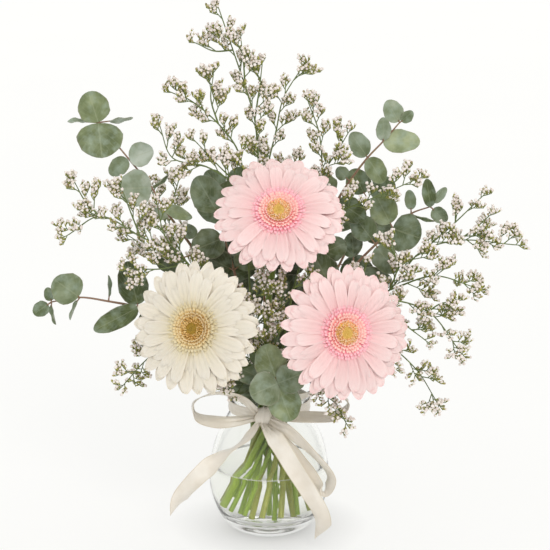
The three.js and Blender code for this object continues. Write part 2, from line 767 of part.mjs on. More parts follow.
addMesh('vase', vaseSolid, '#e8f0ef', 0.05, { transparent: true, opacity: 0.35 });
addMesh('water', water(holes), '#dfe9e6', 0.05, { transparent: true, opacity: 0.4 });
addMesh('ribbon', ribbonSolid, '#ece2d2', 0.45);
for (const flower of gerberas) {
  addMesh(`gerbera_${flower.name}_petals`, flower.parts.petals, flower.petalColour, 0.6);
  addMesh(`gerbera_${flower.name}_eye`, flower.parts.eye, flower.eyeColour, 0.8);
  addMesh(`gerbera_${flower.name}_stem`, flower.parts.stem, '#7fa044', 0.5);
}
for (const sprig of eucalyptus) addMesh(sprig.name, sprig.solid, '#6f8a74', 0.6);
for (const spray of lavender) addMesh(spray.name, spray.solid, '#a9a98a', 0.7);

export default group;
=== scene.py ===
from math import cos, pi, radians, sin, sqrt, tau

import bmesh
import bpy
from mathutils import Matrix, Quaternion, Vector


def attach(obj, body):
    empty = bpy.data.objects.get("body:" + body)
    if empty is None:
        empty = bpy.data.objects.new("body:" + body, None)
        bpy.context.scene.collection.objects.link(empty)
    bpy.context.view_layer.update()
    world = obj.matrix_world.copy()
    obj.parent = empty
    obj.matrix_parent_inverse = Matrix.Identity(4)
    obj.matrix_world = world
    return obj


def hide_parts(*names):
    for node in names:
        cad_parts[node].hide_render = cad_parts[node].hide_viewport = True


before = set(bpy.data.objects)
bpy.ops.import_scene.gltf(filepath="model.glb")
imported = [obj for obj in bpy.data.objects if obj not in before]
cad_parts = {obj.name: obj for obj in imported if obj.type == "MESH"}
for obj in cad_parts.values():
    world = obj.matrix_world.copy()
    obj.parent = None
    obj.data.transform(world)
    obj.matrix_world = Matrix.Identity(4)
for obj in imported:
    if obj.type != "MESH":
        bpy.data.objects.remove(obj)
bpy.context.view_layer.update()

mm = 0.001
tiny = 1e-6  # the smallest length that counts, in metres
upward = Vector((0, 0, 1))
viewSide = Vector((0, -0.97, 0.25))  # leaves and twigs turn this way, towards the front
print("frame loaded:", len(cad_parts), "nodes")

# ---- helpers for points and draws


def metres(point):
    return Vector(point) * mm


def polar(radius, angle, height):
    return metres((radius * cos(angle), radius * sin(angle), height))


def draws(seeds, place, factor=16807, limit=2147483647):  # even, repeatable draws from 0 to 1
    first, step = seeds
    state = [first + step * place]

    def draw():
        state[0] = state[0] * factor % limit
        return state[0] / limit

    return draw


def around(random, width):  # a draw from -width / 2 to width / 2
    return width * (random() - 0.5)


# a smooth curve through the points, share from 0 to 1; even: each span counts alike
def splinePoint(points, share, even=False):
    last = len(points) - 1
    span = min(int(share * last), last - 1)
    weight = share * last - span
    p1, p2 = points[span], points[span + 1]
    before, after = (p1, p2) if even else (p1 * 2 - p2, p2 * 2 - p1)
    p0 = points[span - 1] if span > 0 else before
    p3 = points[span + 2] if span + 2 <= last else after
    power = 0 if even else 0.5
    gaps = [max((b - a).length, tiny) ** power for a, b in ((p0, p1), (p1, p2), (p2, p3))]
    leave = (p1 - p0) / gaps[0] - (p2 - p0) / (gaps[0] + gaps[1]) + (p2 - p1) / gaps[1]
    arrive = (p2 - p1) / gaps[1] - (p3 - p1) / (gaps[1] + gaps[2]) + (p3 - p2) / gaps[2]
    t1, t2 = leave * gaps[1], arrive * gaps[1]
    w2, w3 = weight ** 2, weight ** 3
    return (
        p1 * (2 * w3 - 3 * w2 + 1)
        + t1 * (w3 - 2 * w2 + weight)
        + p2 * (3 * w2 - 2 * w3)
        + t2 * (w3 - w2)
    )


def splineTangent(points, share):
    step = 0.0005
    low, high = max(share - step, 0), min(share + step, 1)
    return (splinePoint(points, high) - splinePoint(points, low)).normalized()


def smoothPath(points, perSpan=8, even=False):
    count = (len(points) - 1) * perSpan
    return [splinePoint(points, i / count, even) for i in range(count + 1)]


def placeMatrix(root, direction, face, roll=0.0):  # +Y grows along direction, +Z looks along face
    along = direction.normalized()
    normal = (face - along * face.dot(along)).normalized()
    normal.rotate(Quaternion(along, radians(roll)))
    matrix = Matrix((along.cross(normal), along, normal)).transposed().to_4x4()
    matrix.translation = root
    return matrix


def standMatrix(root, direction, size):  # +Z stands along direction
    turn = direction.to_track_quat("Z", "Y").to_matrix().to_4x4()
    return Matrix.Translation(root) @ turn @ Matrix.Scale(size, 4)


# ---- helpers for meshes

crispAngle = radians(60)  # an edge sharper than this isn't smoothed


def addObject(name, data):
    added = bpy.data.objects.new(name, data)
    bpy.context.scene.collection.objects.link(added)
    return added


def meshFrom(bm, name):
    mesh = bpy.data.meshes.new(name)
    bm.to_mesh(mesh)
    bm.free()
    return mesh


def setTone(shape, tone=0.5):  # how light or dark this copy is, read by the finishes
    layer = shape.attributes.get("tone") or shape.attributes.new("tone", "FLOAT", "POINT")
    layer.data.foreach_set("value", [tone] * len(shape.vertices))


def shapeFrom(bm, name, slotIndex=0):  # ends a bmesh as a reusable smooth shape
    for face in bm.faces:
        face.smooth = True
        face.material_index = slotIndex
    shape = meshFrom(bm, name)
    setTone(shape)
    return shape


def newBuild():
    build = bmesh.new()
    build.verts.layers.float.new("tone")
    build.loops.layers.uv.new("UVMap")
    return build


def stamp(build, shape, matrix=Matrix.Identity(4), tone=None):
    copy = shape.copy()
    copy.transform(matrix)
    if tone is not None:
        setTone(copy, tone)
    build.from_mesh(copy)
    bpy.data.meshes.remove(copy)


def stampTubes(build, tubes, sides):  # tubes: lists of (point, radius)
    curve = bpy.data.curves.new("tubes", "CURVE")
    curve.dimensions = "3D"
    curve.bevel_depth = 1
    curve.bevel_resolution = sides
    curve.use_fill_caps = True
    curve.twist_mode = "MINIMUM"
    for tube in tubes:
        line = curve.splines.new("POLY")
        line.points.add(len(tube) - 1)
        for knot, (point, radius) in zip(line.points, tube):
            knot.co = (*point, 1)
            knot.radius = radius
    holder = addObject("tubes", curve)
    depsgraph = bpy.context.evaluated_depsgraph_get()
    shape = bpy.data.meshes.new_from_object(holder.evaluated_get(depsgraph))
    bpy.data.objects.remove(holder)
    bpy.data.curves.remove(curve)
    shape.polygons.foreach_set("use_smooth", [True] * len(shape.polygons))
    setTone(shape)
    build.from_mesh(shape)
    bpy.data.meshes.remove(shape)


def weld(bm):
    bmesh.ops.remove_doubles(bm, verts=bm.verts, dist=tiny)
    bmesh.ops.recalc_face_normals(bm, faces=bm.faces)


# a thin sheet: pointAt puts each point of a flat grid in its place, from x (-1 to 1 across)
# and share (0 to 1 along); flat is the size of its UV map
def sheetShape(name, grid, thickness, pointAt, slotIndex=0, flat=(1, 1)):
    bm = bmesh.new()
    layer = bm.loops.layers.uv.new("UVMap")
    bmesh.ops.create_grid(bm, x_segments=grid[0], y_segments=grid[1], size=0.5, calc_uvs=True)
    for face in bm.faces:
        for loop in face.loops:
            u, v = loop[layer].uv
            loop[layer].uv = (u * flat[0], v * flat[1])
    for vert in bm.verts:
        vert.co = pointAt(2 * vert.co.x, vert.co.y + 0.5)
    weld(bm)
    bmesh.ops.solidify(bm, geom=bm.faces, thickness=thickness * mm)
    bmesh.ops.recalc_face_normals(bm, faces=bm.faces)
    for edge in bm.edges:
        edge.smooth = edge.calc_face_angle(0) < crispAngle
    return shapeFrom(bm, name, slotIndex)


def spun(outline, steps):  # (radius, height) pairs turned round the upright axis
    bm = bmesh.new()
    verts = [bm.verts.new((r * mm, 0, z * mm)) for r, z in outline]
    edges = [bm.edges.new(pair) for pair in zip(verts, verts[1:])]
    bmesh.ops.spin(bm, geom=verts + edges, axis=upward, angle=tau, steps=steps, use_merge=True)
    weld(bm)
    return bm


def finishPiece(build, name, finishes, node, slotName):
    mesh = meshFrom(build, name)
    for finish in finishes:
        mesh.materials.append(finish)
    piece = addObject(name, mesh)
    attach(piece, "root")
    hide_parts(node)
    return piece


# ---- helpers for finishes


def rgb(code):  # '#rrggbb' as linear light
    parts = [int(code[i:i + 2], 16) / 255 for i in (1, 3, 5)]
    linear = [p / 12.92 if p <= 0.04045 else ((p + 0.055) / 1.055) ** 2.4 for p in parts]
    return (*linear, 1)


def newFinish(name, roughness, **sockets):
    finish = bpy.data.materials.new(name)
    finish.use_nodes = True
    tree = finish.node_tree
    shader = tree.nodes["Principled BSDF"]
    shader.inputs["Roughness"].default_value = roughness
    for key, value in sockets.items():
        shader.inputs[key.replace("_", " ")].default_value = value
    return finish, tree, shader


def addNode(tree, kind, **settings):
    node = tree.nodes.new("ShaderNode" + kind)
    for key, value in settings.items():
        setattr(node, key, value)
    return node


def feed(socket, value):  # value: another node's output, a colour code or a number
    if isinstance(value, bpy.types.NodeSocket):
        socket.id_data.links.new(value, socket)
    else:
        socket.default_value = rgb(value) if isinstance(value, str) else value


def objectPlace(tree):
    return addNode(tree, "TexCoord").outputs["Object"]


def flatPlace(tree):
    return addNode(tree, "UVMap", uv_map="UVMap").outputs[0]


def toneOf(tree):
    return addNode(tree, "Attribute", attribute_name="tone").outputs["Fac"]


def axesOf(place):
    node = addNode(place.id_data, "SeparateXYZ")
    feed(node.inputs[0], place)
    return node.outputs[:3]


def colourRamp(factor, stops):
    node = addNode(factor.id_data, "ValToRGB")
    elements = node.color_ramp.elements
    elements.remove(elements[1])
    elements[0].position = stops[0][0]
    elements[0].color = rgb(stops[0][1])
    for at, colour in stops[1:]:
        elements.new(at).color = rgb(colour)
    feed(node.inputs[0], factor)
    return node.outputs[0]


def valueRamp(factor, low, high, outLow=0.0, outHigh=1.0):
    node = addNode(factor.id_data, "MapRange")
    for socket, value in zip(node.inputs, (factor, low, high, outLow, outHigh)):
        feed(socket, value)
    return node.outputs[0]


def mixColour(factor, first, second, blend="MIX"):
    tree = (first if isinstance(first, bpy.types.NodeSocket) else factor).id_data
    node = addNode(tree, "Mix", data_type="RGBA", blend_type=blend)
    for at, value in ((0, factor), (6, first), (7, second)):  # its sockets for colours
        feed(node.inputs[at], value)
    return node.outputs[2]


def noise(vector, scale, detail=3.0, stretch=(1, 1, 1)):
    mapping = addNode(vector.id_data, "Mapping")
    mapping.inputs["Scale"].default_value = stretch
    feed(mapping.inputs[0], vector)
    node = addNode(vector.id_data, "TexNoise")
    node.inputs["Scale"].default_value = scale
    node.inputs["Detail"].default_value = detail
    feed(node.inputs["Vector"], mapping.outputs[0])
    return node.outputs[0]


def calc(operation, *values):
    node = addNode(values[0].id_data, "Math", operation=operation)
    for socket, value in zip(node.inputs, values):
        feed(socket, value)
    return node.outputs[0]


def offMiddle(across, middle=0.5):  # how far from the middle line
    return calc("ABSOLUTE", calc("SUBTRACT", across, middle))


def dress(shader, colour, height, strength, distance):  # a finish's colour and relief
    feed(shader.inputs["Base Color"], colour)
    node = addNode(shader.id_data, "Bump")
    node.inputs["Strength"].default_value = strength
    node.inputs["Distance"].default_value = distance
    feed(node.inputs["Height"], height)
    feed(shader.inputs["Normal"], node.outputs[0])


# ---- studio

studio = {
    "cameraAt": (0.005, -1.623, 0.650),
    "pitchDown": 14.66,
    "lens": 129.3,
    "sensor": 36,
    "floorHalf": 30.0,
    "floorLight": 4.2,  # the floor's own light, which keeps it white
    "paper": ("#757574", "#767675"),
    "surround": 0.82,
    "contactReach": 0.045,  # how far the painted contact shadow around the vase's foot spreads on the floor
    "contactShade": 0.5,
    # each lamp: the side it shines from, softness in degrees, strength, colour
    "lamps": {
        "key": ((0.3, -0.9, 0.8), 20, 0.88, "#fffaf2"),
        "top": ((0.1, 0.35, 1.0), 50, 0.4, "#ffffff"),
    },
}

camera = addObject("camera", bpy.data.cameras.new("camera"))
camera.location = studio["cameraAt"]
camera.rotation_euler = (radians(90 - studio["pitchDown"]), 0, 0)
camera.data.lens = studio["lens"]
camera.data.sensor_width = studio["sensor"]
bpy.context.scene.camera = camera
bpy.context.scene.view_settings.view_transform = "Standard"

for name, (side, softness, strength, colour) in studio["lamps"].items():
    lamp = bpy.data.lights.new(name, "SUN")
    lamp.angle = radians(softness)
    lamp.energy = strength
    lamp.color = rgb(colour)[:3]
    light = addObject(name, lamp)
    light.location = Vector(side) * 2
    light.rotation_euler = (-Vector(side)).to_track_quat("-Z", "Y").to_euler()

world = bpy.context.scene.world or bpy.data.worlds.new("studio")
bpy.context.scene.world = world
world.use_nodes = True
background = world.node_tree.nodes["Background"]
background.inputs[0].default_value = rgb("#ffffff")
background.inputs[1].default_value = studio["surround"]

floorFinish, tree, shader = newFinish("paper_floor", 0.9, Emission_Strength=studio["floorLight"])
paper = mixColour(noise(objectPlace(tree), 3.0), *studio["paper"])
# painted contact shadow: ambient occlusion darkens the floor's own glow around the vase's foot
contact = addNode(tree, "AmbientOcclusion", samples=12)
contact.inputs["Distance"].default_value = studio["contactReach"]
shaded = mixColour(studio["contactShade"], paper, contact.outputs["AO"], "MULTIPLY")
feed(shader.inputs["Base Color"], paper)
feed(shader.inputs["Emission Color"], shaded)
bm = bmesh.new()
bmesh.ops.create_grid(bm, x_segments=1, y_segments=1, size=studio["floorHalf"])
floor = addObject("floor", meshFrom(bm, "floor"))
floor.data.materials.append(floorFinish)
print("studio ready")

# ---- bundle of stems, as in the vase's neck: each plant's stem has a ring and a place in it

bundle = {
    "waist": 88,
    "rim": 126,
    "centre": {"radius": 0, "count": 1, "slope": 0, "turn": 0, "foot": 12},
    "inner": {"radius": 6.8, "count": 7, "slope": 0.27, "turn": -162, "foot": 13},
    "outer": {"radius": 13.5, "count": 14, "slope": 0.47, "turn": -110, "foot": 20},
    # heights, in metres, where the shade in the crowded neck comes and goes
    "shadeStarts": (0.055, 0.10),
    "shadeEnds": (0.13, 0.18),
    "shade": "#7c8656",
}


def bundlePoint(ring, place, height):
    spec = bundle[ring]
    angle = radians(spec["turn"] + place * 360 / spec["count"])
    side = spec["slope"] * (height - bundle["waist"])
    return metres((
        spec["radius"] * cos(angle) - side * sin(angle),
        spec["radius"] * sin(angle) + side * cos(angle),
        height,
    ))


def stemPoints(plant):
    ring, place = plant["stem"]
    heights = (bundle[ring]["foot"], bundle["waist"], bundle["rim"])
    return [bundlePoint(ring, place, h) for h in heights] + [metres(p) for p in plant["path"]]


def taper(line, first, last):  # a line as a tube that narrows towards its end
    first, last = first * mm, last * mm
    steps = len(line) - 1
    return [(p, first + (last - first) * i / steps) for i, p in enumerate(line)]


def grownStem(points, foot, rim, tip):  # radius at the foot, at the vase's rim and at the tip
    line = smoothPath(points)
    rimAt = next(i for i, p in enumerate(line) if p.z > bundle["rim"] * mm)
    return taper(line[:rimAt + 1], foot, rim)[:-1] + taper(line[rimAt:], rim, tip)


# ---- vase and water

vase = {
    # (radius, height) pairs
    "foot": [(0, 0.8), (18, 0.8), (26, 0)],
    "outside": [(31, 0), (38, 5), (44, 14), (49.5, 28), (52, 43), (50.3, 64), (45.5, 82), (38, 97),
                (34, 106), (33.4, 112), (35.8, 120), (38.4, 126)],
    "inside": [(0, 9), (18, 9.6), (31, 12.5), (40.5, 19), (46.8, 29.5), (49.3, 43), (47.5, 63),
               (42.8, 80.5), (35.4, 95), (31.2, 105.5), (30.8, 112), (33.6, 120), (36, 125.6)],
    "rim": (37.3, 127),
    "steps": 96,
    "glass": ("#f8f9f5", 1.3),  # tint and refraction
    "water": ("#fefefb", 1.16),
    "waterLevel": 57,
    "meniscus": (1.3, 3.5),  # height and reach of the water's curved edge
    "edgeSteps": (0.4, 1.0, 1.8, 2.6),
    "soak": 0.12,  # how far the water reaches into the glass, so that no air shows between them
}


def profile(points):
    return smoothPath([Vector(point) for point in points], 4, True)


def clearFinish(name, tint, ior, paleFrom=None):  # paleFrom: where the water's edge turns pale, a painted highlight along the waterline
    finish, tree, shader = newFinish(name, 0.0, Transmission_Weight=1.0, IOR=ior)
    place = objectPlace(tree)
    colour = mixColour(noise(place, 9.0, 1.0), tint, "#ffffff")
    dress(shader, colour, noise(place, 16.0, 1.0), 0.12, 0.002)
    if paleFrom:
        # painted highlight: the water's edge lets less light through, so its pale colour shows as a
        # bright waterline
        height = axesOf(place)[2]
        clear = valueRamp(height, paleFrom * mm, (paleFrom + 0.5) * mm, 1.0, 0.55)
        feed(shader.inputs["Transmission Weight"], clear)
    unshaded = addNode(tree, "BsdfTransparent")  # light passes, so that no black shadow falls
    rays = addNode(tree, "LightPath")
    mix = addNode(tree, "MixShader")
    feed(mix.inputs[0], rays.outputs["Is Shadow Ray"])
    feed(mix.inputs[1], shader.outputs[0])
    feed(mix.inputs[2], unshaded.outputs[0])
    feed(tree.nodes["Material Output"].inputs["Surface"], mix.outputs[0])
    return finish


def spunPiece(outline, name, finish, node, slotName):
    build = newBuild()
    stamp(build, shapeFrom(spun(outline, vase["steps"]), f"{node}_shape"))
    finishPiece(build, name, [finish], node, slotName)


inside = profile(vase["inside"])
foot = [Vector(point) for point in vase["foot"]]
outline = foot + profile(vase["outside"]) + [Vector(vase["rim"])] + inside[::-1]
glassFinish = clearFinish("clear_glass", *vase["glass"])
spunPiece(outline, "vase_glass", glassFinish, "vase", "vase_glass")

level, soak = vase["waterLevel"], vase["soak"]
rise, reach = vase["meniscus"]
wet = [p for p in inside if p.y < level - 1.5]
above = inside[len(wet)]
edge = wet[-1].lerp(above, (level - wet[-1].y) / (above.y - wet[-1].y))
outline = [Vector((p.x + (soak if p.x > 0 else 0), p.y - soak)) for p in wet]
outline += [Vector((edge.x + soak, level + rise))]
outline += [Vector((edge.x - d, level + rise * (1 - d / reach) ** 2)) for d in vase["edgeSteps"]]
outline += [Vector((edge.x - d, level)) for d in (3.6, 12, edge.x)]
waterFinish = clearFinish("clear_water", *vase["water"], level + 0.1)
spunPiece(outline, "water_body", waterFinish, "water", "water")
print("vase and water ready")

# ---- ribbon

ribbon = {
    "width": 15.5,
    "thickness": 0.3,
    "slantCut": 20,  # the tails' ends are cut at a slant of this length
    "colours": [(0.3, "#e6ddce"), (0.5, "#f0e9dd"), (0.7, "#faf5ec")],
    "hem": "#d3c5a8",
    "thread": "#d8c8aa",
    "band": (107, 117, 33.6, 1.45),  # lowest and highest point, neck's radius, gap to the glass
    "bandFlat": 0.9,  # the band is cut to the neck with this much room
    "knotMiddle": (-5, -40.6, 113),
    "knotHalf": (7.4, 5.8, 8.2),
    # each strip's middle line, and at its points the way that its width lies
    "loops": [
        ([(-9.5, -42, 116), (-24, -48, 131), (-46, -54, 137), (-63, -57, 131), (-62, -57, 119),
          (-40, -49, 111), (-10, -41, 111.5)],
         [(0, -0.3, 1), (0.2, -0.8, 0.6), (0.1, -0.9, 0.45), (0, -1, 0.1), (0, -0.95, -0.2),
          (0, -0.9, -0.4), (0, -0.4, -0.8)]),
        ([(-1, -41, 118), (16, -46, 129), (46, -50, 137), (66, -52, 129), (58, -52, 117),
          (30, -47, 114), (0.5, -39.5, 114.5)],
         [(0, -0.3, 1), (-0.2, -0.8, 0.6), (0, -0.9, 0.45), (0, -1, 0.1), (0, -0.95, -0.2),
          (0, -0.9, -0.4), (0, -0.4, -0.8)]),
        ([(0.5, -44, 111), (14, -54, 106), (36, -63, 88), (52, -65, 66), (46, -61, 53),
          (29, -53, 70), (12, -49, 92), (-2.5, -42, 107.5)],
         [(0.5, -0.2, 0.8), (0.5, -0.5, 0.6), (0.4, -0.8, 0.4), (0.4, -0.9, 0.3), (0.5, -0.8, 0.3),
          (0.8, -0.2, 0.5), (0.8, -0.2, 0.5), (0.8, -0.2, 0.3)]),
    ],
    "tails": [
        ([(-9, -43.5, 109), (-18, -52, 99), (-40, -55, 82), (-62, -54, 62), (-75, -52, 44),
          (-79, -50, 29)],
         [(0.8, 0.1, 0.6), (0.8, -0.1, 0.6), (0.8, -0.1, 0.6), (0.7, 0, 0.4), (0.8, 0.3, 0.1),
          (0.6, 0.8, 0)]),
        ([(-5.5, -44.5, 108), (5, -55, 98), (19, -63, 78), (34, -67, 54), (45, -68, 30),
          (43, -68, 10)],
         [(0.8, -0.1, -0.3), (0.9, -0.1, 0.3), (0.9, -0.2, 0.4), (0.9, -0.2, 0.3), (0.8, -0.5, 0.1),
          (0.5, -0.8, 0)]),
    ],
}


def satinFinish():
    finish, tree, shader = newFinish(
        "satin_cream", 0.36, Sheen_Weight=0.35, Sheen_Roughness=0.35, Specular_IOR_Level=0.45
    )
    flat = flatPlace(tree)
    wave = addNode(tree, "TexWave", wave_type="BANDS", bands_direction="Y")
    wave.inputs["Scale"].default_value = 700
    wave.inputs["Distortion"].default_value = 1.5
    feed(wave.inputs[0], flat)
    weave = wave.outputs[1]
    base = colourRamp(noise(objectPlace(tree), 45.0, 4.0), ribbon["colours"])
    half = ribbon["width"] / 2 * mm
    side = offMiddle(axesOf(flat)[0], half)
    hem = valueRamp(side, half - 0.85 * mm, half - 0.35 * mm, 0, 0.5)
    base = mixColour(hem, base, ribbon["hem"])
    colour = mixColour(calc("MULTIPLY", weave, 0.1), base, ribbon["thread"])
    streak = noise(flat, 160.0, 3.0, (1, 0.08, 1))
    height = calc("ADD", calc("MULTIPLY", weave, 0.4), streak)
    dress(shader, colour, height, 0.5, 0.0007)
    return finish


def clothShape(name, grid, length, pointAt):  # its UV map has its real size, and so the weave too
    flat = (ribbon["width"] * mm, length)
    return sheetShape(name, grid, ribbon["thickness"], pointAt, flat=flat), length


def stripShape(line, across, order, isLoop):
    points = [metres(p) for p in line]
    sides = [Vector(v) for v in across]
    length = sum((b - a).length for a, b in zip(points, points[1:]))
    slant = 0 if isLoop else ribbon["slantCut"] * mm / length

    def pointAt(x, share):
        x /= 2
        share *= 1 - slant * (x + 0.5) * share ** 3
        tangent = splineTangent(points, share)
        wide = splinePoint(sides, share).normalized()
        wide = (wide - tangent * wide.dot(tangent)).normalized()
        toKnot = min(share, 1 - share) if isLoop else share
        pinch = min(1.0, 0.3 + 3.5 * toKnot)
        gather = (1 - pinch) * 1.3 + 0.07
        pleat = gather * cos(x * 15 + order) + 0.5 * gather * cos(x * 27 + 2 * order)
        curl = 0.7 * sin(share * 9 + order) * (2 * x) ** 2
        drift = 0.5 * sin(x * 5 + share * 14 + order)
        lift = tangent.cross(wide) * ((pleat + (curl + drift) * pinch) * mm)
        return splinePoint(points, share) + wide * (x * ribbon["width"] * mm * pinch) + lift

    return clothShape("ribbon_strip", (12, round(length / (1.6 * mm))), length, pointAt)


def bandShape():
    low, high, neck, gap = ribbon["band"]
    middle = (low + high) / 2

    def pointAt(x, share):
        x /= 2
        angle = tau * share
        height = middle + x * (high - low)
        flare = 0.02 * (height - middle) ** 2
        wrinkle = 0.35 * cos(x * 19 + 0.6 * sin(3 * angle)) + 0.15 * cos(7 * angle)
        return polar(neck + gap + flare + wrinkle, angle, height)

    return clothShape("ribbon_band", (10, 120), tau * (neck + ribbon["bandFlat"]) * mm, pointAt)


def knotShape():
    wide, deep, high = ribbon["knotHalf"]

    def pointAt(x, share):
        angle = tau * share
        bulge = 0.62 + 0.38 * sqrt(max(0, 1 - x * x))
        fold = 0.045 * cos(x * 9 + 0.8 * sin(angle)) + 0.03 * cos(x * 17 + angle)
        size = bulge + fold
        slant = 1.2 * sin(angle)
        return metres(ribbon["knotMiddle"]) + metres((
            x * wide * (0.86 + 0.14 * cos(2 * angle)) + slant,
            -deep * size * cos(angle),
            high * size * sin(angle),
        ))

    return clothShape("ribbon_knot", (16, 48), pi * (deep + high) * mm, pointAt)


build = newBuild()
loops = len(ribbon["loops"])
strips = enumerate(ribbon["loops"] + ribbon["tails"])
parts = [stripShape(line, across, order, order < loops) for order, (line, across) in strips]
parts += [bandShape(), knotShape()]
for shape, length in parts:
    stamp(build, shape)
bow = finishPiece(build, "ribbon_bow", [satinFinish()], "ribbon", "ribbon_satin")

# ---- gerberas: middle of the petals, the way they face and how far they reach

gerberas = {
    "pink_top": {
        "centre": (8, -45, 290), "facing": (0, -0.743, 0.669), "reach": 51.5,
        "stem": ("inner", 0), "path": [(-2, -15, 190), (4, -14, 240), (7, -19, 262)],
        "colour": "pink", "eye": "eye_gold", "tip": 1.25,
    },
    "cream_left": {
        "centre": (-61, -72, 199), "facing": (-0.35, -0.9, 0.27), "reach": 53.5,
        "stem": ("outer", 11), "path": [(-31, -25, 156), (-45, -34, 181), (-52, -48, 192)],
        "colour": "cream", "eye": "eye_olive", "tip": 1.7,
    },
    "pink_right": {
        "centre": (62, -78, 197), "facing": (0.31, -0.91, 0.27), "reach": 53.5,
        "stem": ("outer", 0), "path": [(27, -25, 155), (43, -35, 181), (51, -50, 190)],
        "colour": "pink", "eye": "eye_gold", "tip": 1.35,
    },
}

head = {
    "seeds": {"petals": (4001, 97), "eye": (6007, 89), "stem": (8011, 83)},
    # count, turn, root radius, shorter than the reach by, width, height, slope, droop
    "layers": [
        (26, 0.0, 9.0, 7.0, 12.0, -0.7, 0.0, 3.6),
        (25, 0.5, 9.0, 9.0, 11.8, 0.2, 0.025, 3.2),
        (20, 0.2, 9.0, 13.5, 11.0, 1.1, 0.055, 2.8),
    ],
    "petalThick": 0.28,
    "petalGrid": (10, 14),
    "petalKinds": 5,
    # count, root radius, height, length, slope
    "ringRows": [
        (44, 15.6, 2.0, 7.0, 0.30),
        (41, 14.0, 2.5, 6.4, 0.50),
        (37, 12.4, 2.9, 5.4, 0.75),
        (32, 11.0, 3.2, 4.2, 1.1),
        (27, 9.5, 3.6, 3.6, 1.9),
    ],
    "ringThick": 0.22,
    # turned parts, as (radius, height) pairs
    "seat": [(0, 3.6), (6, 3.5), (10, 3.2), (14, 2.8),
             (16.5, 1.8), (16.5, 0.2), (13, -1.2), (0, -1.4)],
    "mound": [(0, 4.6), (3.6, 4.9), (7, 5.1), (9.4, 4.2), (9.9, 3.4), (0, 3.4)],
    "cup": [(0, -16), (3.0, -16), (4.6, -14.6), (7, -12),
            (9.6, -8.4), (11.2, -4), (11.4, -1.6), (0, -1.8)],
    "turnSteps": 32,
    "anthers": 170,
    "antherRing": (4.7, 8.5),
    "antherSize": (0.32, 0.6, 3),  # radius at the root and at the top, length
    "antherFall": (4.3, 1.2),  # height of the inner ones, and how much lower the outer ones stand
    "buds": 110,
    "budRing": 5.2,
    "budRadius": 0.62,
    "budHeight": 4.85,
    # root radius, height, slope
    "bractRows": [(6.2, -13.2, 1.0), (9.2, -9.4, 2.6)],
    "bractsInRow": 15,
    "bractThick": 0.3,
    "stem": (3.1, 2.9, 2.5),
    "stemTop": -13,
}


def petalShape(length, width, droop, tip, random):
    bend, twist = around(random, 0.09), around(random, 0.25)
    tipFall = droop * (0.6 + 0.8 * random())
    notch = 0.5 + 0.9 * random()
    tipFrom = 0.78

    def pointAt(x, v):
        v = 0.35 * v + 0.65 * sin(v * pi / 2)
        swell = 0.42 + 0.58 * sin(pi / 2 * min(1, v / 0.7)) ** 1.3
        close = 1.0 if v < tipFrom else sqrt(max(0.0, 1 - ((v - tipFrom) / 0.222) ** 2))
        side = width / 2 * swell * (0.12 + 0.88 * close ** tip) * x
        groove = 0.34 * cos(2.5 * pi * x) * sin(pi * min(v * 1.05, 1))
        trough = 1.5 * x * x * (0.9 - 1.25 * v)
        arch = 2.0 * sin(pi * v * 0.85) - tipFall * v ** 3.2
        tooth = -notch * v ** 12 * (0.5 - 0.5 * cos(3 * pi * x)) if abs(x) < 0.8 else 0
        return metres((
            side + bend * length * v * v,
            length * v + tooth,
            groove + trough + arch + twist * side * v,
        ))

    return sheetShape("petal", head["petalGrid"], head["petalThick"], pointAt)


def ringFloret(length, slotIndex):  # a short floret of the ring between eye and petals
    def pointAt(x, v):
        half = 1.25 * (0.55 + 0.45 * sin(pi * min(1, v / 0.8) / 2)) * (1 if v < 0.9 else 0.45)
        return metres((half * x, length * v, 0.5 * x * x + 1.3 * v * v - 1.6 * v ** 4))

    return sheetShape("ring_floret", (2, 4), head["ringThick"], pointAt, slotIndex)


def bractShape():
    def pointAt(x, v):
        side = 1.5 * x * (1 - v ** 2.2) * (0.7 + 0.3 * v) + 0.1 * x
        return metres((side, 12.5 * v, 0.35 * (1 - x * x) + 1.3 * v * v))

    return sheetShape("bract", (2, 5), head["bractThick"], pointAt, 1)


def antherShape():
    low, high, length = (size * mm for size in head["antherSize"])
    bm = bmesh.new()
    bmesh.ops.create_cone(bm, cap_ends=True, segments=5, radius1=low, radius2=high, depth=length)
    bmesh.ops.translate(bm, verts=bm.verts, vec=(0, 0, length / 2))
    top = [v for v in bm.verts if v.co.z > 2 * mm]
    for i, vert in enumerate(top):
        vert.co.z += 0.5 * mm * (i % 2)
    return shapeFrom(bm, "anther", 1)


def turnedShape(part, slotIndex):
    return shapeFrom(spun(head[part], head["turnSteps"]), part, slotIndex)


def ringMatrix(radius, height, angle, slope, roll=0.0, face=upward):
    outward = Vector((cos(angle), sin(angle), slope))
    return placeMatrix(polar(radius, angle, height), outward, face, roll)


def headMatrix(flower):
    normal = Vector(flower["facing"]).normalized()
    across = upward.cross(normal).normalized()
    matrix = Matrix((across, normal.cross(across), normal)).transposed().to_4x4()
    matrix.translation = metres(flower["centre"])
    return matrix


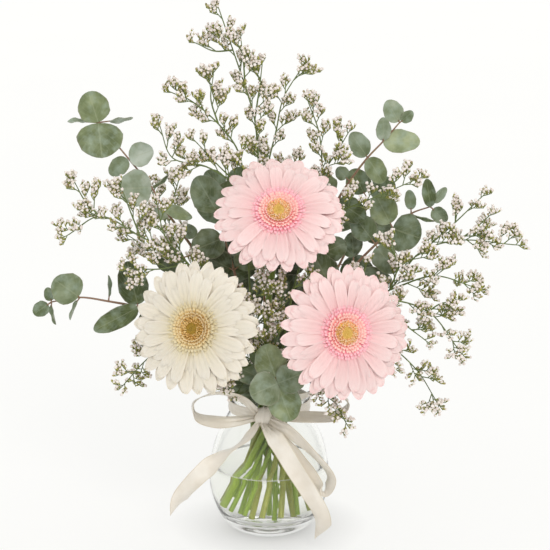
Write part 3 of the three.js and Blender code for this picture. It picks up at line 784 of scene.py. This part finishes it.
def petalFinish(name, base, middle, tip, streak, paintedGlow=0.0):  # the florets' own glow: painted light that brightens their shaded gaps
    finish, tree, shader = newFinish(
        name, 0.55, Sheen_Weight=0.25, Sheen_Roughness=0.5, Specular_IOR_Level=0.3,
        Subsurface_Weight=0.25, Subsurface_Radius=(1, 0.88, 0.85), Subsurface_Scale=0.0012,
        Emission_Strength=paintedGlow,
    )
    flat = flatPlace(tree)
    across, along = axesOf(flat)[:2]
    colour = colourRamp(along, [(0.1, base), (0.45, middle), (0.85, tip), (1.0, middle)])
    line = noise(flat, 30.0, 3.0, (1, 0.05, 1))
    colour = mixColour(valueRamp(line, 0.45, 0.75, 0, 0.5), colour, streak)
    rim = valueRamp(offMiddle(across), 0.36, 0.5, 0, 0.35)
    colour = mixColour(rim, colour, tip)
    shade = valueRamp(toneOf(tree), 0, 1, 0.93, 1.0)
    colour = mixColour(1.0, colour, shade, "MULTIPLY")
    # painted light: the petal's colour also glows, at the strength given above
    feed(shader.inputs["Emission Color"], colour)
    dress(shader, colour, noise(flat, 42.0, 2.0, (1, 0.04, 1)), 0.3, 0.0006)
    return finish


def speckFinish(name, low, high, roughness=0.7, scale=900.0):
    finish, tree, shader = newFinish(name, roughness, Sheen_Weight=0.2, Specular_IOR_Level=0.3)
    speck = noise(objectPlace(tree), scale, 2.0)
    tone = calc("MULTIPLY", toneOf(tree), 0.4)
    share = calc("ADD", calc("MULTIPLY", speck, 0.6), tone)
    dress(shader, colourRamp(share, [(0.3, low), (0.7, high)]), speck, 0.3, 0.0002)
    return finish


# green in the water, shaded in the neck, and its own colour above, between two heights in metres
def stemFinish(name, low, middle, high, lowHeight=0.10, highHeight=0.17):
    finish, tree, shader = newFinish(name, 0.38, Specular_IOR_Level=0.45, Coat_Weight=0.05)
    place = objectPlace(tree)
    height = axesOf(place)[2]
    climb = valueRamp(height, lowHeight, highHeight)
    colour = colourRamp(climb, [(0.0, low), (0.5, middle), (1.0, high)])
    starts = valueRamp(height, *bundle["shadeStarts"], 0, 0.9)
    shade = calc("MULTIPLY", starts, valueRamp(height, *bundle["shadeEnds"], 1, 0.25))
    colour = mixColour(shade, colour, bundle["shade"], "MULTIPLY")
    fibre = noise(place, 700.0, 3.0, (1, 1, 0.05))
    colour = mixColour(valueRamp(fibre, 0.4, 0.8, 0, 0.35), colour, middle)
    blotch = valueRamp(noise(place, 90.0, 2.0), 0.55, 0.8, 0, 0.4)
    dress(shader, mixColour(blotch, colour, low), fibre, 0.25, 0.0003)
    return finish


bloomFinishes = {
    "pink": [
        petalFinish("petal_pink", "#fbbdc0", "#f9cfcd", "#fbe0dd", "#f0b9ba"),
        petalFinish("ring_pink", "#ff7c98", "#ffa6b4", "#ffd2d8", "#ff889e", 0.08),
        speckFinish("seat_pink", "#ffa6b2", "#ffc4c8"),
        petalFinish("ring_pink_inner", "#ff9c98", "#ffc0b8", "#ffdcd2", "#ffa8a0", 0.09),
    ],
    "cream": [
        petalFinish("petal_cream", "#e3d4ae", "#ebe1ce", "#f1e9dc", "#dccfb0"),
        petalFinish("ring_cream", "#d2b674", "#e2d3a8", "#eadebc", "#ccac68", 0.05),
        speckFinish("seat_cream", "#e2cd96", "#eeddb3"),
        petalFinish("ring_cream_inner", "#c99a48", "#e0bf7c", "#f2e0b6", "#d0a455", 0.06),
    ],
}
eyeFinishes = {
    "eye_gold": [
        speckFinish("bud_lime", "#cfab48", "#f2d27c"),
        speckFinish("anther_gold", "#ffb878", "#ffe2b8"),
    ],
    "eye_olive": [
        speckFinish("bud_olive", "#8f7420", "#bc9836"),
        speckFinish("anther_ochre", "#d09a40", "#f8d994"),
    ],
}
stalkFinishes = [
    stemFinish("gerbera_green", "#96ae42", "#86a03c", "#728a3c"),
    speckFinish("cup_green", "#5f7c3c", "#86a056", 0.6, 500.0),
]


def petalsOf(flower, matrix):
    random = draws(head["seeds"]["petals"], flower["stem"][1])
    petals = newBuild()
    kindCount = head["petalKinds"]
    for layer, row in enumerate(head["layers"]):
        count, start, root, short, width, height, slope, droop = row
        size = (flower["reach"] - short, width, droop, flower["tip"])
        kinds = [petalShape(*size, random) for kind in range(kindCount)]
        for i in range(count):
            angle = tau * (i + start + around(random, 0.22)) / count
            rise = height + 0.5 * random()
            local = ringMatrix(root, rise, angle, slope + around(random, 0.05), around(random, 10))
            wide = 0.92 + 0.14 * random()
            long = 1.03 - (0.07 + 0.05 * layer) * random()
            kind = kinds[int(random() * (kindCount - 0.001))]
            place = matrix @ local @ Matrix.Diagonal((wide, long, 1, 1))
            stamp(petals, kind, place, random())
    stamp(petals, turnedShape("seat", 2), matrix)
    for row, (count, root, height, length, slope) in enumerate(head["ringRows"]):
        shape = ringFloret(length, 1 if row < 2 else 3)
        for i in range(count):
            angle = tau * (i + 0.5 * (row % 2) + around(random, 0.35)) / count
            lift = slope * (0.8 + 0.4 * random())
            local = ringMatrix(root, height, angle, lift, around(random, 30))
            stamp(petals, shape, matrix @ local, random())
    return petals


def eyeOf(flower, matrix):
    random = draws(head["seeds"]["eye"], flower["stem"][1])
    eye = newBuild()
    stamp(eye, turnedShape("mound", 0), matrix)
    bm = bmesh.new()
    bmesh.ops.create_icosphere(bm, subdivisions=1, radius=head["budRadius"] * mm)
    bud = shapeFrom(bm, "bud")
    anther = antherShape()
    golden = pi * (3 - sqrt(5))
    for i in range(head["buds"]):
        radius = head["budRing"] * sqrt((i + 0.5) / head["buds"])
        at = Matrix.Translation(polar(radius, i * golden, head["budHeight"] + 0.35 * random()))
        stamp(eye, bud, matrix @ at, radius / head["budRing"] * 0.5 + 0.5 * random())
    low, high = head["antherRing"]
    height, fall = head["antherFall"]
    for i in range(head["anthers"]):
        share = (i + 0.5) / head["anthers"]
        radius = sqrt(low ** 2 + (high ** 2 - low ** 2) * share)
        angle = i * golden + 0.2 * random()
        out = 0.1 + 0.6 * share
        lean = Vector((cos(angle) * out, sin(angle) * out, 1))
        lean += Vector((random() - 0.5, random() - 0.5, 0)) * 0.3
        at = polar(radius, angle, height - fall * share)
        local = standMatrix(at, lean, 0.75 + 0.45 * random())
        stamp(eye, anther, matrix @ local, random())
    return eye


def stalkOf(flower, matrix):
    random = draws(head["seeds"]["stem"], flower["stem"][1])
    stalk = newBuild()
    stamp(stalk, turnedShape("cup", 1), matrix)
    bract = bractShape()
    for row, (radius, height, slope) in enumerate(head["bractRows"]):
        for i in range(head["bractsInRow"]):
            angle = tau * (i + 0.5 * row) / head["bractsInRow"]
            outward = Vector((cos(angle), sin(angle), 0))
            local = ringMatrix(radius, height, angle, slope, face=outward)
            size = Matrix.Scale(0.8 + 0.15 * random(), 4)
            stamp(stalk, bract, matrix @ local @ size, random())
    end = matrix @ metres((0, 0, head["stemTop"]))
    stampTubes(stalk, [grownStem(stemPoints(flower) + [end], *head["stem"])], 4)
    return stalk


for name, flower in gerberas.items():
    matrix = headMatrix(flower)
    colour, eye = flower["colour"], flower["eye"]
    parts = [
        ("petals", "bloom", petalsOf(flower, matrix), bloomFinishes[colour], f"petal_{colour}"),
        ("eye", "florets", eyeOf(flower, matrix), eyeFinishes[eye], eye),
        ("stem", "stalk", stalkOf(flower, matrix), stalkFinishes, "gerbera_green"),
    ]
    for node, part, build, finishes, slotName in parts:
        finishPiece(build, f"gerbera_{name}_{part}", finishes, f"gerbera_{name}_{node}", slotName)
print("gerberas ready")

# ---- eucalyptus: at each of the stem's points the leaves that grow there, as middle of the
# blade, length, width and turn about its own length in degrees; and the range of their tones,
# drawn at random per leaf; the darker ranges of the back sprigs and the inner left one are painted
# shade

eucalyptus = {
    "upper_left": {
        "stem": ("outer", 8), "tones": (0.22, 0.85),
        "path": [(-36, 10, 180), (-62, 4, 243), (-75, 0, 264), (-90, 0, 286), (-99, 3, 301),
                 (-118, 9, 324), (-144, 20, 353)],
        "leaves": [
            (1, (-84, -12, 240), 26, 24, 10), (2, (-66, -8, 266), 17, 14, 20),
            (3, (-76, -6, 282), 28, 12, 25), (3, (-96, 16, 276), 24, 20, -30),
            (4, (-111, 0, 301), 31, 31, 0), (4, (-92, 8, 306), 18, 6, 70),
            (5, (-107, 8, 328), 22, 21, -10), (5, (-126, 8, 317), 20, 16, 15),
            (6, (-148, 22, 366), 27, 27, 5), (6, (-142, 12, 339), 31, 39, -10),
            (6, (-162, 24, 352), 17, 9, 60), (6, (-125, 24, 356), 20, 8, 65),
        ],
    },
    "left": {
        "stem": ("outer", 9), "tones": (0.0, 0.5),
        "path": [(-47, -3, 163), (-72, -10, 188), (-111, -10, 200), (-136, -10, 205),
                 (-160, -12, 209), (-184, -12, 205)],
        "leaves": [
            (2, (-116, -6, 220), 38, 26, 15), (2, (-103, -2, 184), 26, 20, -20),
            (2, (-130, -14, 191), 42, 19, -20), (3, (-136, -12, 219), 20, 5, 60),
            (4, (-171, -17, 219), 28, 28, 0), (4, (-165, -10, 197), 20, 6, 60),
            (5, (-193, -13, 199), 15, 13, 0), (5, (-186, -12, 212), 12, 9, 10),
            (5, (-182, -12, 194), 18, 6, 55),
        ],
    },
    "upper_right": {
        "stem": ("inner", 2), "tones": (0.3, 0.85),
        "path": [(22, 4, 180), (40, 10, 240), (58, 10, 288), (68, 12, 304), (83, 14, 324),
                 (96, 18, 337), (110, 20, 353)],
        "leaves": [
            (1, (55, 8, 247), 24, 22, 0), (2, (70, 8, 280), 28, 21, 10),
            (2, (48, 22, 300), 22, 18, 20), (3, (61, 10, 312), 13, 12, 0),
            (4, (75, 12, 336), 25, 18, 10), (4, (90, 14, 313), 25, 18, -10),
            (5, (96, 18, 348), 20, 13, 10), (5, (111, 18, 337), 33, 21, -15),
            (6, (104, 20, 363), 21, 17, 0), (6, (116, 22, 358), 13, 10, 20),
        ],
    },
    "right": {
        "stem": ("outer", 3), "tones": (0.1, 0.65),
        "path": [(40, 6, 162), (58, 2, 204), (72, 0, 232), (90, 0, 252), (105, 4, 265),
                 (120, 4, 278), (136, 4, 284)],
        "leaves": [
            (1, (45, 4, 229), 30, 27, 0), (2, (92, -4, 226), 26, 15, 20),
            (2, (72, 14, 248), 24, 20, -30), (3, (99, -8, 241), 28, 22, 10),
            (3, (80, 10, 264), 26, 22, 0), (4, (115, -4, 263), 33, 33, 0),
            (4, (97, 12, 280), 28, 24, -10), (5, (119, 8, 289), 17, 10, 10),
            (5, (131, 0, 276), 20, 5, 60), (6, (134, 4, 296), 25, 12, 10),
            (6, (144, 8, 293), 17, 8, 10), (6, (144, 2, 277), 16, 13, 10),
        ],
    },
    "front": {
        "stem": ("outer", 13), "tones": (0.15, 0.5),
        "path": [(4, -36, 139), (5, -50, 146), (7, -66, 150)],
        "leaves": [
            (0, (-10, -28, 136), 22, 16, 30), (0, (-16, -32, 128), 20, 14, -20),
            (0, (-20, -41, 153), 26, 20, 10), (0, (-26, -37, 140), 22, 17, 0),
            (0, (-7, -41, 168), 24, 19, -10), (2, (-3, -71, 147), 29, 29, 0),
            (2, (19, -69, 156), 26, 25, 0), (2, (1, -63, 168), 30, 27, 0),
            (2, (13, -67, 133), 32, 28, 0),
        ],
    },
    "inner_left": {
        "stem": ("inner", 5), "tones": (-0.1, 0.5),
        "path": [(-19, 8, 180), (-30, 6, 228), (-38, 8, 256), (-44, 10, 278)],
        "leaves": [
            (1, (-44, 2, 236), 26, 22, 0), (1, (-18, 6, 240), 26, 22, 20),
            (2, (-52, 0, 252), 30, 27, 10), (2, (-30, 22, 264), 24, 20, 20),
            (3, (-53, 10, 294), 34, 28, 0), (3, (-34, 14, 292), 28, 24, 10),
        ],
    },
    "back_right": {
        "stem": ("outer", 4), "tones": (-0.15, 0.15),
        "path": [(38, 40, 178), (62, 60, 220), (80, 70, 255), (88, 74, 272)],
        "leaves": [
            (1, (78, 58, 212), 32, 30, 180), (2, (64, 76, 262), 32, 30, 180),
            (2, (96, 70, 248), 28, 26, 170), (3, (78, 79, 290), 24, 22, 180),
            (3, (100, 75, 284), 24, 22, 180),
        ],
    },
    "back_left": {
        "stem": ("outer", 6), "tones": (-0.15, 0.2),
        "path": [(-15, 46, 175), (-26, 64, 220), (-34, 74, 262), (-37, 77, 275)],
        "leaves": [
            (1, (-42, 66, 214), 30, 28, 170), (2, (-50, 76, 268), 30, 28, 180),
            (2, (-18, 78, 266), 28, 26, 190), (3, (-49, 82, 290), 22, 20, 180),
            (3, (-27, 82, 292), 22, 20, 180),
        ],
    },
    "back_top": {
        "stem": ("inner", 4), "tones": (-0.4, -0.1),
        "path": [(-3.5, 17, 156), (-4, 24, 190), (-5, 29, 222), (-6, 36, 250), (-9, 41, 276)],
        "leaves": [
            (0, (-22, 17, 166), 30, 27, 0), (0, (14, 19, 166), 30, 27, 0),
            (1, (-24, 26, 200), 38, 35, 0), (1, (17, 25, 202), 38, 35, 0),
            (2, (-26, 32, 232), 38, 36, 0), (2, (16, 33, 236), 40, 40, 0),
            (3, (10, 42, 256), 28, 25, 180), (4, (-20, 46, 290), 20, 18, 180),
            (4, (2, 47, 292), 20, 18, 180),
        ],
    },
}
sprig = {
    "seeds": (3001, 41),
    "stem": (2.5, 1.6, 0.6),
    "stalk": (0.8, 0.5),
    "leafThick": 0.42,
    "leafGrid": (10, 12),
    "tipPale": 0.22,  # leaves get paler towards the sprig's tip
    "colours": [(0.0, "#2d381c"), (0.2, "#3f4c27"), (0.4, "#566540"),
                (0.58, "#727f60"), (0.75, "#8b977f"), (0.95, "#b5beb0")],
    "greener": "#dfe2b2",
    "vein": "#a3ab8c",
    "rim": "#9a8d7c",
    "bloom": "#9fb0a0",
}


def leafFinish():
    finish, tree, shader = newFinish(
        "eucalyptus_leaf", 0.48, Specular_IOR_Level=0.4, Sheen_Weight=0.2, Sheen_Roughness=0.6
    )
    place, flat, tone = objectPlace(tree), flatPlace(tree), toneOf(tree)
    across, along = axesOf(flat)[:2]
    cloud = noise(place, 75.0, 5.0)
    mottle = valueRamp(cloud, 0.3, 0.7, 0.05, 0.45)
    share = calc("ADD", mottle, calc("MULTIPLY", tone, 0.6))
    colour = colourRamp(share, sprig["colours"])
    spread = calc("SINE", calc("MULTIPLY", tone, 40))  # differs from leaf to leaf
    greener = valueRamp(spread, -0.3, 0.9, 0, 0.85)
    colour = mixColour(greener, colour, sprig["greener"], "MULTIPLY")
    side = offMiddle(across)
    rib = valueRamp(side, 0.01, 0.03, 0.32, 0.0)
    slant = calc("SUBTRACT", along, calc("MULTIPLY", side, 0.8))
    wave = calc("SINE", calc("MULTIPLY", slant, 52))
    vein = valueRamp(wave, 0.86, 1.0, 0, 0.35)
    vein = calc("MULTIPLY", vein, noise(flat, 7.0, 2.0))
    lines = calc("MAXIMUM", rib, vein)
    colour = mixColour(lines, colour, sprig["vein"])
    colour = mixColour(valueRamp(side, 0.465, 0.5, 0, 0.4), colour, sprig["rim"])
    bloom = valueRamp(noise(place, 130.0, 6.0), 0.45, 0.7, 0, 0.5)
    colour = mixColour(bloom, colour, sprig["bloom"])
    height = calc("SUBTRACT", calc("MULTIPLY", cloud, 0.6), lines)
    dress(shader, colour, height, 0.35, 0.0006)
    return finish


def leafShape(length, width, petiole, random):
    fold = 0.9 + 1.2 * random()
    curl = (random() - 0.35) * 3.0
    wave = 0.5 + 0.7 * random()
    phase = random() * 6.28

    def pointAt(x, share):
        v = 0.5 - 0.5 * cos(pi * share)
        half = width / 2 * sqrt(max(0.0, 4 * v * (1 - v))) * (1 + 0.10 * cos(pi * v))
        half *= 1 + 0.028 * sin(17 * v + 3 * x + phase) + 0.014 * sin(41 * v + 2 * phase)
        ripple = wave * sin(9 * v + phase) * x * abs(x)
        height = 0.7 + fold * abs(x) * sin(pi * v) ** 0.5 + ripple * sin(pi * v)
        return metres((half * x, petiole + length * v, height + curl * (v - 0.3) ** 2))

    return sheetShape("leaf", sprig["leafGrid"], sprig["leafThick"], pointAt, 1)


sprigFinishes = [
    stemFinish("eucalyptus_stem", "#98a04c", "#86774c", "#93705c", 0.115, 0.19),
    leafFinish(),
]

for order, (name, plant) in enumerate(eucalyptus.items()):
    random = draws(sprig["seeds"], order)
    build = newBuild()
    tubes = [grownStem(stemPoints(plant), *sprig["stem"])]
    darkest, lightest = plant["tones"]
    for at, middle, length, width, roll in plant["leaves"]:
        node = metres(plant["path"][at])
        direction = metres(middle) - node
        reach = direction.length / mm + length / 2
        petiole = max(reach - length, 0)
        matrix = placeMatrix(node, direction, viewSide, roll)
        # painted shade: the back sprigs and the inner left one draw from darker tone ranges
        tone = darkest + (lightest - darkest) * random()
        tone += sprig["tipPale"] * (at / (len(plant["path"]) - 1)) ** 2
        stamp(build, leafShape(min(length, reach), width, petiole, random), matrix, tone)
        if petiole > 1:
            stops = (0, petiole * 0.5, petiole + 1.5)
            stalk = [matrix @ metres((0, y, 0.7 * y / petiole)) for y in stops]
            tubes.append(taper(stalk, *sprig["stalk"]))
    stampTubes(build, tubes, 3)
    node = f"eucalyptus_{name}"
    finishPiece(build, f"eucalyptus_{name}_sprig", sprigFinishes, node, "eucalyptus_leaf")
print("eucalyptus ready")

# ---- sea lavender: the main stem above the rim, the share of it that is bare, the space between
# its small plumes, and forks, each with the main stem's point that it grows from

lavender = {
    "top": {
        "stem": ("centre", 0), "bare": 0.66, "between": 15,
        "path": [(0, 4, 200), (-4, 8, 270), (-9, 10, 325), (-12, 12, 357), (-20, 14, 385),
                 (-30, 15, 415), (-41, 15, 448)],
        "forks": [
            (3, [(-8, 17, 383), (-6, 19, 400)]),
            (1, [(-2, 20, 310), (6, 27, 345), (12, 29, 372), (27, 31, 397)]),
            (5, [(-46, 17, 414), (-60, 18, 420)]), (4, [(-21, 10, 403), (-23, 6, 424)]),
        ],
    },
    "upper_right": {
        "stem": ("inner", 3), "bare": 0.68, "between": 12,
        "path": [(17, 14, 190), (34, 14, 262), (44, 6, 312), (42, 5, 346), (33, 8, 372)],
        "forks": [
            (2, [(56, 2, 330), (65, 0, 346)]),
            (1, [(57, -6, 281), (88, -14, 296), (122, -14, 311)]),
        ],
    },
    "upper_left": {
        "stem": ("inner", 6), "bare": 0.72, "between": 12,
        "path": [(-15, -5, 190), (-18, -2, 250), (-20, -4, 300), (-26, -6, 334), (-42, -8, 357),
                 (-65, -10, 377), (-79, -10, 383)],
        "forks": [
            (2, [(-52, -14, 322), (-80, -16, 330), (-90, -17, 357)]),
            (4, [(-48, -8, 378), (-46, -8, 396)]), (2, [(-38, -10, 318), (-60, -12, 342)]),
        ],
    },
    "left": {
        "stem": ("outer", 10), "bare": 0.5, "between": 12,
        "path": [(-35, -16, 158), (-50, -21, 200), (-68, -24, 242), (-107, -28, 266),
                 (-140, -28, 283), (-166, -30, 268)],
        "forks": [
            (0, [(-60, -32, 170), (-89, -40, 173), (-104, -43, 162), (-120, -44, 144)]),
            (4, [(-152, -28, 296), (-160, -27, 311)]), (3, [(-114, -30, 286), (-121, -30, 306)]),
            (2, [(-86, -30, 266), (-92, -32, 292)]), (2, [(-90, -32, 239), (-115, -34, 240)]),
        ],
    },
    "right": {
        "stem": ("outer", 2), "bare": 0.48, "between": 15,
        "path": [(42, -8, 158), (68, -18, 190), (101, -28, 220), (126, -27, 252), (158, -26, 262),
                 (204, -25, 258)],
        "forks": [
            (3, [(150, -23, 272), (175, -20, 296)]), (2, [(138, -32, 233), (172, -32, 223)]),
            (4, [(172, -23, 272), (181, -22, 280)]), (1, [(74, -30, 214), (80, -34, 240)]),
            (2, [(106, -36, 240), (102, -38, 262)]),
        ],
    },
    "lower_right": {
        "stem": ("outer", 1), "bare": 0.5, "between": 15,
        "path": [(38, -18, 152), (62, -30, 188), (96, -42, 214), (132, -46, 206), (158, -50, 174)],
        "forks": [
            (0, [(72, -38, 168), (98, -46, 176), (122, -50, 158), (140, -52, 130)]),
            (2, [(112, -46, 196), (128, -50, 184)]), (3, [(141, -48, 213), (151, -49, 216)]),
        ],
    },
    "low_front": {
        "stem": ("inner", 1), "bare": 0.66, "between": 14,
        "path": [(10, -25, 136), (20, -42, 148), (38, -60, 150), (52, -70, 140), (62, -75, 122)],
        "forks": [],
    },
    "middle": {
        "stem": ("outer", 12), "bare": 0.48, "between": 17,
        "path": [(-9, -34, 158), (-13, -44, 192), (-16, -50, 218), (-6, -50, 240)],
        "forks": [
            (0, [(-20, -48, 168), (-30, -56, 178)]), (1, [(8, -50, 216), (30, -52, 236)]),
            (0, [(-24, -46, 156), (-42, -56, 148)]), (1, [(2, -50, 204), (14, -54, 216)]),
            (0, [(2, -46, 172), (8, -54, 188)]), (0, [(-16, -40, 150), (-26, -44, 136)]),
            (1, [(-8, -50, 204), (1, -56, 224)]), (1, [(-20, -50, 204), (-23, -54, 218)]),
            (0, [(0, -46, 164), (-4, -54, 182)]),
        ],
    },
    "back_right": {
        "stem": ("outer", 5), "bare": 0.52, "between": 11,
        "path": [(8, 50, 186), (12, 71, 240), (17, 80, 280), (22, 85, 306)],
        "forks": [
            (1, [(32, 80, 266), (46, 86, 284)]), (2, [(5, 85, 300), (-3, 87, 316)]),
        ],
    },
    "back_left": {
        "stem": ("outer", 7), "bare": 0.5, "between": 11,
        "path": [(-42, 42, 174), (-70, 60, 216), (-92, 70, 256), (-104, 75, 284)],
        "forks": [
            (1, [(-98, 64, 228), (-124, 66, 244)]), (2, [(-84, 76, 276), (-80, 79, 290)]),
        ],
    },
}
spray = {
    "seeds": (977, 1),
    "fineSeeds": (5003, 59),
    "stem": (2.1, 1.1, 0.45),
    "fork": (0.85, 0.4),
    "forkBare": 0.2,
    "plumeStem": (0.5, 0.38),
    "combStem": (0.4, 0.28),
    "twigSpacing": 25,
    "twigReach": (14, 9),
    "endTwig": 8,
    "combSpacing": 3.8,
    "floretSpacing": 1.55,
    # ways out of a stem: swing, and shares of onward, outward and upward
    "twigWay": (1.8, 0.65, 0.8, 0.2),
    "betweenWay": (2.2, 0.85, 0.6, 0.2),
    "combWay": (1.6, 0.75, 0.65, 0.15),
    # florets, as (radius, height) pairs: a green calyx with its open trumpet, or closed and brown
    "open": [(0.3, 0), (0.7, 1.7), (0.95, 3.1), (0.75, 3.2), (1.4, 4.3), (1.05, 4.8), (0, 4.6)],
    "spent": [(0.3, 0), (0.7, 1.7), (0.95, 3.1), (0.5, 3.8), (0, 4.1)],
    "calyxTop": 3.1,
    "spentShare": 0.15,
}
sprayFinishes = [
    stemFinish("lavender_stem", "#8aa43c", "#6c7f3c", "#6a7a43", 0.11, 0.17),
    speckFinish("calyx_green", "#757b33", "#a6a452", 0.7, 600.0),
    speckFinish("trumpet_white", "#e2d6ce", "#f8f1eb", 0.6, 500.0),
    speckFinish("spent_brown", "#8f7c58", "#c2b294", 0.8, 600.0),
]


def floretShape(kind, slotIndex):
    shape = shapeFrom(spun(spray[kind], 5), kind, slotIndex)
    for face in shape.polygons:
        if face.center.z < spray["calyxTop"] * mm:
            face.material_index = 1
    return shape


def wayOut(along, side, swing, onward, outward, rise, random):
    lateral = along.cross(viewSide).normalized() * side
    lateral.rotate(Quaternion(along, around(random, swing)))
    return (along * onward + lateral * outward + upward * rise).normalized()


# point, direction, side and share of the way, at alternating sides; distances in mm
def spotsAlong(path, start, ahead, clear, spacing):
    spans = [(b - a).length / mm for a, b in zip(path, path[1:])]
    whole = sum(spans)
    side, at = 1, start * whole + ahead
    while at < whole - clear:
        span, rest = 0, at
        while rest > spans[span]:
            rest -= spans[span]
            span += 1
        root = splinePoint(path, (span + rest / spans[span]) / (len(path) - 1))
        yield root, (path[span + 1] - path[span]).normalized(), side, at / whole
        side, at = -side, at + spacing()


def addComb(build, tubes, root, direction, reach, random):  # florets along an axis' upper side
    lift = upward - direction * direction.z
    if lift.length < 0.35:
        lift = viewSide - direction * direction.dot(viewSide)
    lift = lift.normalized()
    across = direction.cross(lift)
    bend = (0.04 + 0.10 * random()) * reach

    def pointAt(share):
        return root + (direction * (reach * share) + lift * (bend * share * share)) * mm

    tubes.append(taper([pointAt(share) for share in (0, 0.5, 1)], *spray["combStem"]))
    count = max(3, round(reach * 0.8 / spray["floretSpacing"]))
    for i in range(count):
        lean = across * ((0.5 if i % 2 else -0.5) + around(random, 0.4))
        pointing = (direction * (0.4 + 0.35 * random()) + lift * 0.9 + lean).normalized()
        at = pointAt(0.2 + 0.8 * (i + 0.5) / count)
        matrix = standMatrix(at, pointing, 0.85 + 0.35 * random())
        shape = spentFloret if random() < spray["spentShare"] else openFloret
        stamp(build, shape, matrix, random())


def addPlume(build, tubes, root, direction, reach, random):  # combs on both sides of a twig
    middle = root + direction * (reach * 0.6) * mm
    tubes.append(taper([root, middle], *spray["plumeStem"]))
    addComb(build, tubes, middle, direction, reach * 0.4 + 3, random)
    count = max(2, round(reach / spray["combSpacing"]))
    for i in range(count):
        way = wayOut(direction, 1 if i % 2 else -1, *spray["combWay"], random)
        start = root + direction * (reach * (0.36 + 0.56 * i / count)) * mm
        addComb(build, tubes, start, way, 6 + 3.5 * random(), random)


def addTwigs(build, tubes, path, start, random, fine):  # they shorten towards the branch's tip
    low, more = spray["twigReach"]
    for root, along, side, share in spotsAlong(path, start, 0, 4, lambda: spray["twigSpacing"]):
        way = wayOut(along, side, *spray["twigWay"], random)
        reach = (low + more * random()) * (1.25 - 0.5 * share)
        addPlume(build, tubes, root, way, reach, fine)
    onward = (path[-1] - path[-2]).normalized()
    addPlume(build, tubes, path[-1] - onward * 1.5 * mm, onward, spray["endTwig"], fine)


def addBetween(build, tubes, path, start, spacing, random):  # smaller plumes between the twigs
    gap = lambda: spacing * (0.8 + 0.4 * random())
    for root, along, side, share in spotsAlong(path, start, 8, 5, gap):
        way = wayOut(along, side, *spray["betweenWay"], random)
        addPlume(build, tubes, root, way, 10 + 7 * random(), random)


openFloret = floretShape("open", 2)
spentFloret = floretShape("spent", 3)

for order, (name, plant) in enumerate(lavender.items()):
    random = draws(spray["seeds"], order)
    fine = draws(spray["fineSeeds"], order)
    main = stemPoints(plant)
    forks = [[metres(p) for p in [plant["path"][at]] + points] for at, points in plant["forks"]]
    build = newBuild()
    tubes = [grownStem(main, *spray["stem"])]
    tubes += [taper(smoothPath(fork), *spray["fork"]) for fork in forks]
    for path, start in [(main, plant["bare"])] + [(fork, spray["forkBare"]) for fork in forks]:
        addTwigs(build, tubes, path, start, random, fine)
        addBetween(build, tubes, path, start, plant["between"], fine)
    stampTubes(build, tubes, 1)
    node = f"lavender_{name}"
    finishPiece(build, f"lavender_{name}_spray", sprayFinishes, node, "lavender_spray")
print("sea lavender ready")
